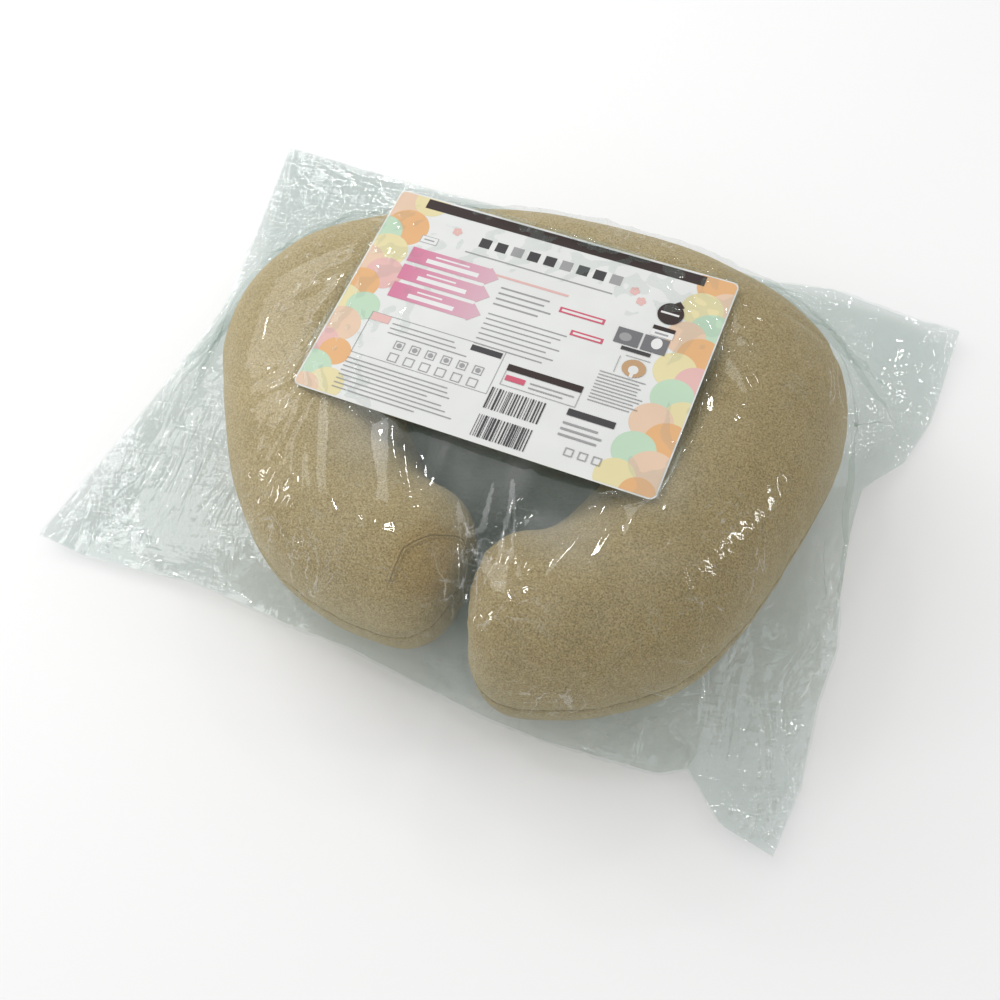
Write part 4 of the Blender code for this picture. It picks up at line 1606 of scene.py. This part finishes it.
    def diagram(self) -> None:
        """The outline drawing of the crescent with two size lines, two small pictures, a badge and a tag."""
        self.bar(72, 18, 20, 15, Ink.PHOTO)
        self.disc(80, 25, 5.0, Ink.GREY, 24, 0.8)
        self.bar(94, 18, 20, 15, Ink.PHOTO)
        self.disc(105, 27, 4.4, Ink.WHITE, 24, 1.2)
        self.bar(80, 13, 24, 3.4, Ink.DARK)
        self.disc(96, -1, 9.5, Ink.TAN, 40, 0.86)
        self.disc(96, -2.5, 4.0, Ink.CARD, 24)
        self.bar(94.6, -10, 2.8, 7, Ink.CARD)
        self.bar(86, 8.6, 20, 0.5, Ink.GREY)
        self.bar(82, -9, 0.5, 16, Ink.GREY)
        self.disc(106, 58, 10.5, Ink.BROWN, 36)
        self.disc(109.5, 67, 5.0, Ink.BROWN, 4)
        self.bar(98, 57, 15, 1.8, Ink.WHITE)
        self.bar(97, 40, 18, 4.0, Ink.BROWN)
        self.bar(97, 34, 18, 6.0, Ink.WHITE)
        self.bar(100, 36, 11, 1.8, Ink.GREY)

    def trim(self) -> None:
        """Cuts the printing back to the card's edge, with its corners."""
        inner_x, inner_y = self.length / 2 - self.white_edge, self.depth / 2 - self.white_edge
        cuts = [((inner_x, 0), (1, 0)), ((-inner_x, 0), (-1, 0))]
        cuts += [((0, inner_y), (0, 1)), ((0, -inner_y), (0, -1))]
        radius = self.corner - self.white_edge
        for side_x in (-1, 1):
            for side_y in (-1, 1):
                centre = (side_x * (inner_x - radius), side_y * (inner_y - radius))
                for step in (22.5, 45.0, 67.5):
                    angle = math.radians(step)
                    way = (side_x * math.cos(angle), side_y * math.sin(angle))
                    cuts.append(((centre[0] + way[0] * radius, centre[1] + way[1] * radius), way))
        for place, way in cuts:
            geometry = self.bm.verts[:] + self.bm.edges[:] + self.bm.faces[:]
            plane = {"plane_co": (*place, 0.0), "plane_no": (*way, 0.0)}
            bmesh.ops.bisect_plane(self.bm, geom=geometry, **plane, clear_outer=True, dist=1e-7)


@dataclass(frozen=True)
class BagOutline:
    """The bag's welded edges as the bag lies: plan points with how high the edge curls there."""

    back: tuple[Point, ...] = (
        (-0.330, 0.325, 0.004), (-0.160, 0.299, 0.003), (-0.062, 0.289, 0.004), (0.081, 0.270, 0.004),
        (0.185, 0.254, 0.004), (0.240, 0.252, 0.010), (0.308, 0.238, 0.006), (0.358, 0.226, 0.012),
    )
    right: tuple[Point, ...] = (
        (0.358, 0.226, 0.012), (0.349, 0.166, 0.008), (0.342, 0.126, 0.006), (0.323, 0.077, 0.010),
        (0.290, 0.036, 0.022), (0.284, -0.010, 0.030), (0.284, -0.065, 0.022), (0.288, -0.110, 0.014),
        (0.279, -0.158, 0.014), (0.276, -0.225, 0.008), (0.263, -0.285, 0.014),
    )
    front: tuple[Point, ...] = (
        (-0.393, -0.161, 0.016), (-0.350, -0.168, 0.008), (-0.278, -0.171, 0.010), (-0.245, -0.172, 0.016),
        (-0.150, -0.192, 0.018), (-0.092, -0.204, 0.030), (-0.050, -0.216, 0.034), (-0.014, -0.226, 0.036),
        (0.030, -0.236, 0.034), (0.078, -0.242, 0.028), (0.118, -0.242, 0.020), (0.168, -0.243, 0.014),
        (0.190, -0.234, 0.016), (0.222, -0.270, 0.012), (0.263, -0.285, 0.014),
    )
    left: tuple[Point, ...] = (
        (-0.393, -0.161, 0.016), (-0.358, -0.020, 0.005), (-0.324, 0.106, 0.008), (-0.318, 0.149, 0.016),
        (-0.322, 0.190, 0.010), (-0.327, 0.260, 0.005), (-0.330, 0.325, 0.004),
    )

    @staticmethod
    def run(points: Sequence[Point], shares: np.ndarray) -> np.ndarray:
        """Points at shares of a polyline's length.

        Args:
            points: the polyline.
            shares: numbers from 0 to 1.

        Returns:
            Rows of x, y, z.
        """
        places = np.array(points)
        steps = np.linalg.norm(np.diff(places[:, :2], axis=0), axis=1)
        along = np.concatenate(([0.0], np.cumsum(steps)))
        along /= along[-1]
        return np.stack([np.interp(shares, along, places[:, axis]) for axis in range(3)], axis=1)

    def patch(self, across: np.ndarray, up: np.ndarray) -> np.ndarray:
        """Coons patch between the four edges.

        Args:
            across: shares from the left edge to the right one.
            up: shares from the front edge to the back one.

        Returns:
            Rows of x, y and the edge's height spread inwards.
        """
        front, back = self.run(self.front, across), self.run(self.back, across)
        left, right = self.run(self.left, up), self.run(self.right[::-1], up)
        wide, tall = across[:, None], up[:, None]
        corners = [np.array(point) for point in (self.front[0], self.front[-1], self.back[0], self.back[-1])]
        bilinear = (
            corners[0] * (1 - wide) * (1 - tall)
            + corners[1] * wide * (1 - tall)
            + corners[2] * (1 - wide) * tall
            + corners[3] * wide * tall
        )
        return front * (1 - tall) + back * tall + left * (1 - wide) + right * wide - bilinear


class DrapeField:
    """How high the front film stands over each point of the plan: a tent over what it covers."""

    def __init__(self, covered: np.ndarray, cell: float, slope: float, clearance: float, lid: float) -> None:
        """Rasters the covered points and spreads them down at the tent's slope.

        Args:
            covered: rows of x, y, z on what the film covers.
            cell: the raster's pitch.
            slope: how steeply the film comes down, as a rise over a run.
            clearance: how far it stands off.
            lid: the film's height where it spans the waist opening.
        """
        self.cell = cell
        self.low = covered[:, :2].min(axis=0) - 0.20
        size = np.ceil((covered[:, :2].max(axis=0) + 0.20 - self.low) / cell).astype(int) + 1
        field = np.zeros((size[1], size[0]))
        index = np.round((covered[:, :2] - self.low) / cell).astype(int)
        np.maximum.at(field, (index[:, 1], index[:, 0]), covered[:, 2] + clearance)
        for row in field:
            filled = np.nonzero(row > 0.10)[0]
            if len(filled) > 1:
                span = slice(filled[0], filled[-1] + 1)
                row[span] = np.maximum(row[span], lid)
        self.field = self.softened(self.spread(field, slope))

    def spread(self, field: np.ndarray, slope: float) -> np.ndarray:
        """Lets each height fall away at the slope in every direction.

        Args:
            field: the heights.
            slope: a rise over a run.

        Returns:
            The spread heights.
        """
        steps = (
            (0, 1, 1.0), (1, 0, 1.0), (1, 1, math.sqrt(2.0)), (1, -1, math.sqrt(2.0)),
            (1, 2, math.sqrt(5.0)), (2, 1, math.sqrt(5.0)), (1, -2, math.sqrt(5.0)), (2, -1, math.sqrt(5.0)),
        )
        for _ in range(int(0.17 / slope / self.cell) + 4):
            for down, right, run in steps:
                fall = slope * self.cell * run
                for sign in (1, -1):
                    moved = np.roll(field, (sign * down, sign * right), axis=(0, 1)) - fall
                    field = np.maximum(field, moved)
        return field

    @staticmethod
    def softened(field: np.ndarray) -> np.ndarray:
        """Rounds the tent's edges without letting it sink."""
        for _ in range(3):
            around = sum(np.roll(field, shift, axis=(0, 1)) for shift in ((0, 1), (0, -1), (1, 0), (-1, 0)))
            field = np.maximum(field * 0.35 + around * 0.1625, field - 0.003)
        return field

    def heights(self, places: np.ndarray) -> np.ndarray:
        """The film's height over rows of x, y.

        Args:
            places: rows that begin with x, y.

        Returns:
            One height for each place.
        """
        spot = (places[:, :2] - self.low) / self.cell
        spot = np.clip(spot, 0.0, np.array(self.field.shape[::-1]) - 1.001)
        whole = spot.astype(int)
        part = spot - whole
        x, y = whole[:, 0], whole[:, 1]
        field = self.field
        near = field[y, x] * (1 - part[:, 0]) + field[y, x + 1] * part[:, 0]
        far = field[y + 1, x] * (1 - part[:, 0]) + field[y + 1, x + 1] * part[:, 0]
        return near * (1 - part[:, 1]) + far * part[:, 1]


@dataclass(frozen=True)
class FilmBag:
    """The clear bag: a front film draped over the cushion and card, and a back film under it."""

    outline: BagOutline
    columns: int = 168
    rows: int = 126
    flat_width: float = 0.74
    flat_depth: float = 0.56
    slack: float = 1.035
    frames: int = 26
    cell: float = 0.004
    tent_slope: float = 1.55
    stand_off: float = 0.0026
    lid_z: float = 0.150
    covered_above: float = 0.03
    front_low: float = 0.0012
    edge_low: float = 0.0016
    settled_low: float = 0.0020
    back_alpha: float = 0.21
    loose_crumple: float = 0.0045
    taut_crumple: float = 0.0004

    def build(self, covered: Sequence[bpy.types.Object]) -> None:
        """Makes both films.

        Args:
            covered: the pieces that the front film lies on.
        """
        back = self.back_film()
        front = self.front_film(covered)
        LOG.info("films: %d and %d vertices", len(front.data.vertices), len(back.data.vertices))

    def grid(self, columns: int, rows: int) -> tuple[bmesh.types.BMesh, np.ndarray]:
        """A grid with a map in metres, and each vertex's shares of the bag's width and depth.

        Args:
            columns: faces across.
            rows: faces up.

        Returns:
            The bmesh and rows of two shares.
        """
        bm = bmesh.new()
        bmesh.ops.create_grid(bm, x_segments=columns, y_segments=rows, size=1.0)
        layer = bm.loops.layers.uv.new("film")
        for face in bm.faces:
            for loop in face.loops:
                share = (loop.vert.co.x + 1) / 2, (loop.vert.co.y + 1) / 2
                loop[layer].uv = (share[0] * self.flat_width, share[1] * self.flat_depth)
        shares = np.array([((vert.co.x + 1) / 2, (vert.co.y + 1) / 2) for vert in bm.verts])
        return bm, shares

    def back_film(self) -> bpy.types.Object:
        """The back film: flat under the cushion, crinkled and lifted towards its edges."""
        bm, shares = self.grid(150, 112)
        places = self.outline.patch(shares[:, 0], shares[:, 1])
        edge = self.edge_distance(shares)
        lift = 1.0 - Kit.smooth_step(edge, 0.0, 0.075)
        crinkle = np.abs(self.facets(places, 3)) * 0.0022 * Kit.smooth_step(lift, 0.0, 0.25)
        places[:, 2] = 0.0004 + np.maximum(places[:, 2] - 0.0012, 0.0) * lift**1.6 + crinkle
        for vert, place in zip(bm.verts, places):
            vert.co = place
        finish = FilmFinish("clear_film_back", clear_alpha=self.back_alpha)
        film = Kit.piece("back_film", bm, [finish.material()], Slot.FILM)
        film.data.shade_smooth()
        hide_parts("bag_back_film")
        return film

    def front_film(self, covered: Sequence[bpy.types.Object]) -> bpy.types.Object:
        """The front film: started as a slack tent, settled by the cloth solver, then crinkled.

        Args:
            covered: the pieces that it lies on.

        Returns:
            The film.
        """
        points = np.concatenate([Kit.coordinates(obj) for obj in covered])
        points = points[points[:, 2] > self.covered_above]
        field = DrapeField(points, self.cell, self.tent_slope, self.stand_off, self.lid_z)
        bm, shares = self.grid(self.columns, self.rows)
        order = np.lexsort((shares[:, 0], shares[:, 1]))
        plan = self.evened(shares[order], field)
        places = np.empty((len(plan), 3))
        places[order] = plan
        edge = self.edge_distance(shares)
        for vert, place in zip(bm.verts, places):
            vert.co = place
        film = Kit.piece("front_film", bm, [FilmFinish("clear_film_front").material()], Slot.FILM)
        self.settle(film, covered, edge)
        finer = film.modifiers.new("finer", "SUBSURF")
        finer.levels = 1
        finer.render_levels = 1
        Kit.apply_modifiers(film)
        self.crease(film)
        film.data.shade_smooth()
        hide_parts("bag_front_film")
        return film

    def edge_distance(self, shares: np.ndarray) -> np.ndarray:
        """How far each vertex is from the bag's nearest edge, in metres of flat film.

        Args:
            shares: rows of two shares.

        Returns:
            One distance for each vertex.
        """
        across = np.minimum(shares[:, 0], 1 - shares[:, 0]) * self.flat_width
        up = np.minimum(shares[:, 1], 1 - shares[:, 1]) * self.flat_depth
        return np.minimum(across, up)

    def evened(self, shares: np.ndarray, field: DrapeField) -> np.ndarray:
        """Spreads the grid evenly over the tent, so that steep places get their share of film.

        Args:
            shares: shares of width and depth, row by row.
            field: the tent.

        Returns:
            Rows of x, y, z, in the same order.
        """
        columns = int(round(len(np.unique(np.round(shares[:, 0], 6)))))
        rows = len(shares) // columns
        patch = self.outline.patch(shares[:, 0], shares[:, 1])
        places = patch.reshape(rows, columns, 3)
        edge = self.edge_distance(shares).reshape(rows, columns)
        curl = places[:, :, 2].copy()
        at_edge = 1.0 - Kit.smooth_step(edge, 0.0, 0.045)
        for _ in range(10):
            self.raise_to_tent(places, field, curl, at_edge)
            for axis in (0, 1):
                turned = places if axis == 1 else places.transpose(1, 0, 2)
                for line in turned:
                    steps = np.linalg.norm(np.diff(line, axis=0), axis=1)
                    along = np.concatenate(([0.0], np.cumsum(steps)))
                    even = np.linspace(0.0, along[-1], len(line))
                    wanted = along + (even - along) * 0.5
                    for channel in range(2):
                        line[:, channel] = np.interp(wanted, along, line[:, channel])
        self.raise_to_tent(places, field, curl, at_edge)
        return places.reshape(-1, 3)

    def raise_to_tent(
        self, places: np.ndarray, field: DrapeField, curl: np.ndarray, at_edge: np.ndarray
    ) -> None:
        """Sets each point's height to the tent's, eased to the edge's own curl.

        Args:
            places: a grid of x, y, z, which is changed.
            field: the tent.
            curl: the height of the nearest edge.
            at_edge: 1 at the bag's edge, 0 well inside it.
        """
        tent = field.heights(places.reshape(-1, 3)).reshape(curl.shape)
        edge = np.maximum(curl, self.edge_low)
        places[:, :, 2] = np.maximum(tent, self.front_low) * (1 - at_edge) + edge * at_edge

    def settle(self, film: bpy.types.Object, covered: Sequence[bpy.types.Object], edge: np.ndarray) -> None:
        """Runs the cloth solver: the film, a little larger than its tent, sinks onto what it covers.

        Args:
            film: the front film.
            covered: the pieces under it.
            edge: each vertex's distance from the bag's edge.
        """
        scene = bpy.context.scene
        film.shape_key_add(name="Basis")
        rest = film.shape_key_add(name="cut")
        cut = Kit.coordinates(film) * self.slack
        rest.data.foreach_set("co", cut.ravel())
        rest.value = 0.0
        held = film.vertex_groups.new(name="weld")
        held.add([index for index, away in enumerate(edge) if away < 1e-6], 1.0, "REPLACE")
        cloth = film.modifiers.new("settle", "CLOTH")
        settings = cloth.settings
        settings.rest_shape_key = rest
        settings.vertex_group_mass = held.name
        settings.quality = 5
        settings.mass = 0.04
        settings.tension_stiffness = 25.0
        settings.compression_stiffness = 25.0
        settings.shear_stiffness = 12.0
        settings.bending_stiffness = 0.35
        settings.air_damping = 2.0
        settings.effector_weights.gravity = 0.6
        cloth.collision_settings.use_collision = True
        cloth.collision_settings.distance_min = 0.0012
        cloth.collision_settings.collision_quality = 3
        cloth.point_cache.frame_start = 1
        cloth.point_cache.frame_end = self.frames
        bumpers = []
        for obj in covered:
            bumper = obj.modifiers.new("bumper", "COLLISION")
            obj.collision.thickness_outer = 0.0010
            bumpers.append((obj, bumper))
        for frame in range(1, self.frames + 1):
            scene.frame_set(frame)
        Kit.apply_modifiers(film)
        scene.frame_set(1)
        for obj, bumper in bumpers:
            obj.modifiers.remove(bumper)
        places = Kit.coordinates(film)
        places[:, 2] = np.maximum(places[:, 2], self.settled_low)
        Kit.set_coordinates(film, places)

    @staticmethod
    def facets(places: np.ndarray, seed: int) -> np.ndarray:
        """A crumpled pattern from -1 to 1: straight creases in several directions that fade in and out.

        Args:
            places: rows of x, y, z.
            seed: the seed of its random draws.

        Returns:
            One number for each place.
        """
        draw = random.Random(seed)
        total = np.zeros(len(places))
        weight = 0.0
        bend = Kit.lumps(places, 6.0, seed * 2.3) * 0.35
        for octave in range(7):
            angle = draw.uniform(0.0, math.pi)
            pitch = 0.055 / (1.45**octave)
            way = np.array([math.cos(angle), math.sin(angle), 0.4])
            along = (places @ way) / pitch + bend / (octave + 1) + draw.uniform(0.0, 10.0)
            wave = 2.0 * np.abs(2.0 * (along - np.floor(along + 0.5))) - 1.0
            mask = 0.5 + 0.5 * np.sin(places @ np.array([draw.uniform(15, 60), draw.uniform(15, 60), 10.0]))
            share = 1.0 / (1.32**octave)
            total += wave * mask * share
            weight += share
        return total / weight * 1.8

    def crease(self, film: bpy.types.Object) -> None:
        """Adds the film's crumples and its long folds to the settled front film.

        Args:
            film: the settled film.
        """
        places = Kit.coordinates(film)
        normals = np.empty(len(places) * 3)
        film.data.vertices.foreach_get("normal", normals)
        normals = normals.reshape(-1, 3)
        high = Kit.smooth_step(places[:, 2], 0.10, 0.155)
        size = self.loose_crumple * (1 - high) + self.taut_crumple * high
        low = Kit.smooth_step(places[:, 2], 0.002, 0.010)
        shift = (self.facets(places, 5) * 0.5 + 0.5) * size * (0.35 + 0.65 * low)
        for start, end, rise, wide in self.folds():
            first, last = np.array(start), np.array(end)
            line = last - first
            share = np.clip((places[:, :2] - first) @ line / (line @ line), 0.0, 1.0)
            away = np.linalg.norm(places[:, :2] - (first + share[:, None] * line), axis=1)
            fade = np.sin(np.clip(share, 0.02, 0.98) * math.pi) ** 0.5
            shift += rise * np.maximum(1.0 - away / wide, 0.0) ** 1.3 * fade
        moved = places + normals * shift[:, None]
        moved[:, 2] = np.maximum(moved[:, 2], self.settled_low + 0.0002)
        Kit.set_coordinates(film, moved)

    @staticmethod
    def folds() -> tuple[tuple[PlanPoint, PlanPoint, float, float], ...]:
        """The long folds of the front film: start, end, height and half width."""
        return (
            ((0.150, -0.111), (0.122, -0.180), 0.0024, 0.0030),
            ((0.112, -0.134), (0.128, -0.138), 0.0018, 0.0024),
            ((0.033, -0.082), (0.032, -0.047), 0.0022, 0.0050),
            ((0.032, -0.047), (0.038, -0.008), 0.0026, 0.0060),
            ((-0.022, 0.056), (0.036, 0.110), 0.0018, 0.0035),
            ((0.100, -0.009), (0.131, 0.074), 0.0030, 0.0060),
            ((0.000, -0.145), (0.022, -0.130), 0.0020, 0.0030),
            ((0.023, -0.089), (0.040, -0.156), 0.0030, 0.0045),
            ((0.010, -0.095), (0.014, -0.150), 0.0022, 0.0040),
            ((0.026, -0.130), (0.057, -0.180), 0.0022, 0.0030),
            ((0.163, 0.061), (0.192, 0.058), 0.0022, 0.0030),
            ((0.192, 0.058), (0.234, 0.071), 0.0022, 0.0030),
            ((0.244, 0.073), (0.262, 0.049), 0.0030, 0.0050),
            ((0.052, -0.215), (0.086, -0.226), 0.0022, 0.0030),
            ((-0.049, -0.222), (-0.023, -0.238), 0.0022, 0.0030),
            ((-0.188, -0.123), (-0.171, -0.105), 0.0026, 0.0035),
            ((-0.240, 0.030), (-0.350, -0.120), 0.0040, 0.0070),
            ((-0.235, -0.050), (-0.300, -0.140), 0.0040, 0.0060),
            ((-0.280, 0.060), (-0.335, 0.030), 0.0030, 0.0050),
            ((-0.260, 0.150), (-0.320, 0.290), 0.0040, 0.0060),
            ((-0.230, 0.170), (-0.280, 0.300), 0.0030, 0.0050),
            ((-0.180, 0.200), (-0.215, 0.290), 0.0035, 0.0060),
            ((0.240, -0.090), (0.262, -0.250), 0.0040, 0.0060),
            ((0.200, -0.150), (0.232, -0.262), 0.0035, 0.0050),
            ((0.252, -0.060), (0.280, -0.150), 0.0035, 0.0050),
            ((0.262, 0.120), (0.335, 0.200), 0.0040, 0.0060),
            ((0.285, 0.090), (0.335, 0.120), 0.0035, 0.0050),
        )


@dataclass(frozen=True)
class Studio:
    """The pale floor, the soft lights and the camera."""

    azimuth: float = math.radians(19.85)
    elevation: float = math.radians(61.47)
    roll: float = math.radians(-6.24)
    distance: float = 1.0913
    target: Point = (-0.0122, -0.0310, 0.0)
    lens: float = 44.64
    lamps: tuple[Point, ...] = (
        (0.22, 1.28, 1.66), (-0.76, 1.15, 1.45), (-0.60, 0.04, 1.80), (-1.41, 0.66, 1.09),
    )
    lamp_size: float = 0.10
    lamp_power: float = 1.1
    floor_z: float = -0.0006
    dome_strength: float = 0.76

    def build(self) -> None:
        """Sets the stage."""
        self.floor()
        self.world()
        self.lights()
        self.camera()

    def floor(self) -> None:
        """A plain pale floor."""
        bm = bmesh.new()
        level = Matrix.Translation((0.0, 0.0, self.floor_z))
        bmesh.ops.create_grid(bm, x_segments=1, y_segments=1, size=6.0, matrix=level)
        material = PaperFinish("studio_floor", (0.93, 0.93, 0.93), 0.9, 1.0).material()
        floor = Kit.piece("studio_floor", bm, [material], None, None, smooth=False)

    def world(self) -> None:
        """An even pale dome of light."""
        world = bpy.data.worlds.new("studio_dome")
        world.use_nodes = True
        dome = world.node_tree.nodes["Background"]
        dome.inputs["Color"].default_value = (1.0, 1.0, 1.0, 1.0)
        dome.inputs["Strength"].default_value = self.dome_strength
        bpy.context.scene.world = world

    def lights(self) -> None:
        """A broad softbox at the left, two strips, and small lamps that the film's facets catch."""
        self.softbox("left_softbox", (-1.35, 0.70, 1.30), 1.30, 1.30, 10.0)
        self.softbox("right_strip", (1.7, 0.25, 1.3), 0.06, 0.7, 2.4)
        self.softbox("left_strip", (-1.6, -0.5, 1.1), 0.06, 0.5, 2.4)
        for index, place in enumerate(self.lamps):
            self.softbox(f"glint_lamp_{index + 1}", place, self.lamp_size, self.lamp_size, self.lamp_power)

    @staticmethod
    def softbox(name: str, place: Point, wide: float, tall: float, power: float) -> None:
        """A rectangular area light aimed at the cushion.

        Args:
            name: its name.
            place: where it stands.
            wide: its width.
            tall: its height.
            power: its power, in watts.
        """
        data = bpy.data.lights.new(name, "AREA")
        data.shape = "RECTANGLE"
        data.size = wide
        data.size_y = tall
        data.energy = power
        obj = bpy.data.objects.new(name, data)
        aim = Vector((0.0, 0.0, 0.08)) - Vector(place)
        obj.matrix_world = Matrix.Translation(place) @ aim.to_track_quat("-Z", "Y").to_matrix().to_4x4()
        bpy.context.scene.collection.objects.link(obj)

    def camera(self) -> None:
        """The camera, with its slight roll."""
        data = bpy.data.cameras.new("camera")
        data.lens = self.lens
        data.sensor_width = 36.0
        data.clip_start = 0.01
        out = Vector(
            (
                math.cos(self.elevation) * math.sin(self.azimuth),
                -math.cos(self.elevation) * math.cos(self.azimuth),
                math.sin(self.elevation),
            )
        )
        right = Vector((math.cos(self.azimuth), math.sin(self.azimuth), 0.0))
        up = right.cross(-out)
        level = Matrix((right, up, out)).transposed().to_4x4()
        camera = bpy.data.objects.new("camera", data)
        place = Vector(self.target) + out * self.distance
        camera.matrix_world = Matrix.Translation(place) @ level @ Matrix.Rotation(self.roll, 4, "Z")
        bpy.context.scene.collection.objects.link(camera)
        bpy.context.scene.camera = camera


def main() -> None:
    """Builds every piece in order."""
    logging.basicConfig(level=logging.INFO, format="%(message)s")
    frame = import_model()
    view = bpy.context.scene.view_settings
    view.view_transform = "Standard"
    form, arc = CushionForm(), ZipArc()
    cover = Cushion(form, arc).build()
    LOG.info("cover: %d vertices", len(cover.data.vertices))
    Zip(arc).build(frame["nodes"])
    CareLabel(form).build()
    InsertCard().build("insert_card")
    FilmBag(BagOutline()).build([cover, bpy.data.objects["insert_sheet"]])
    Studio().build()
    bpy.context.view_layer.update()


if __name__ == "__main__":
    main()
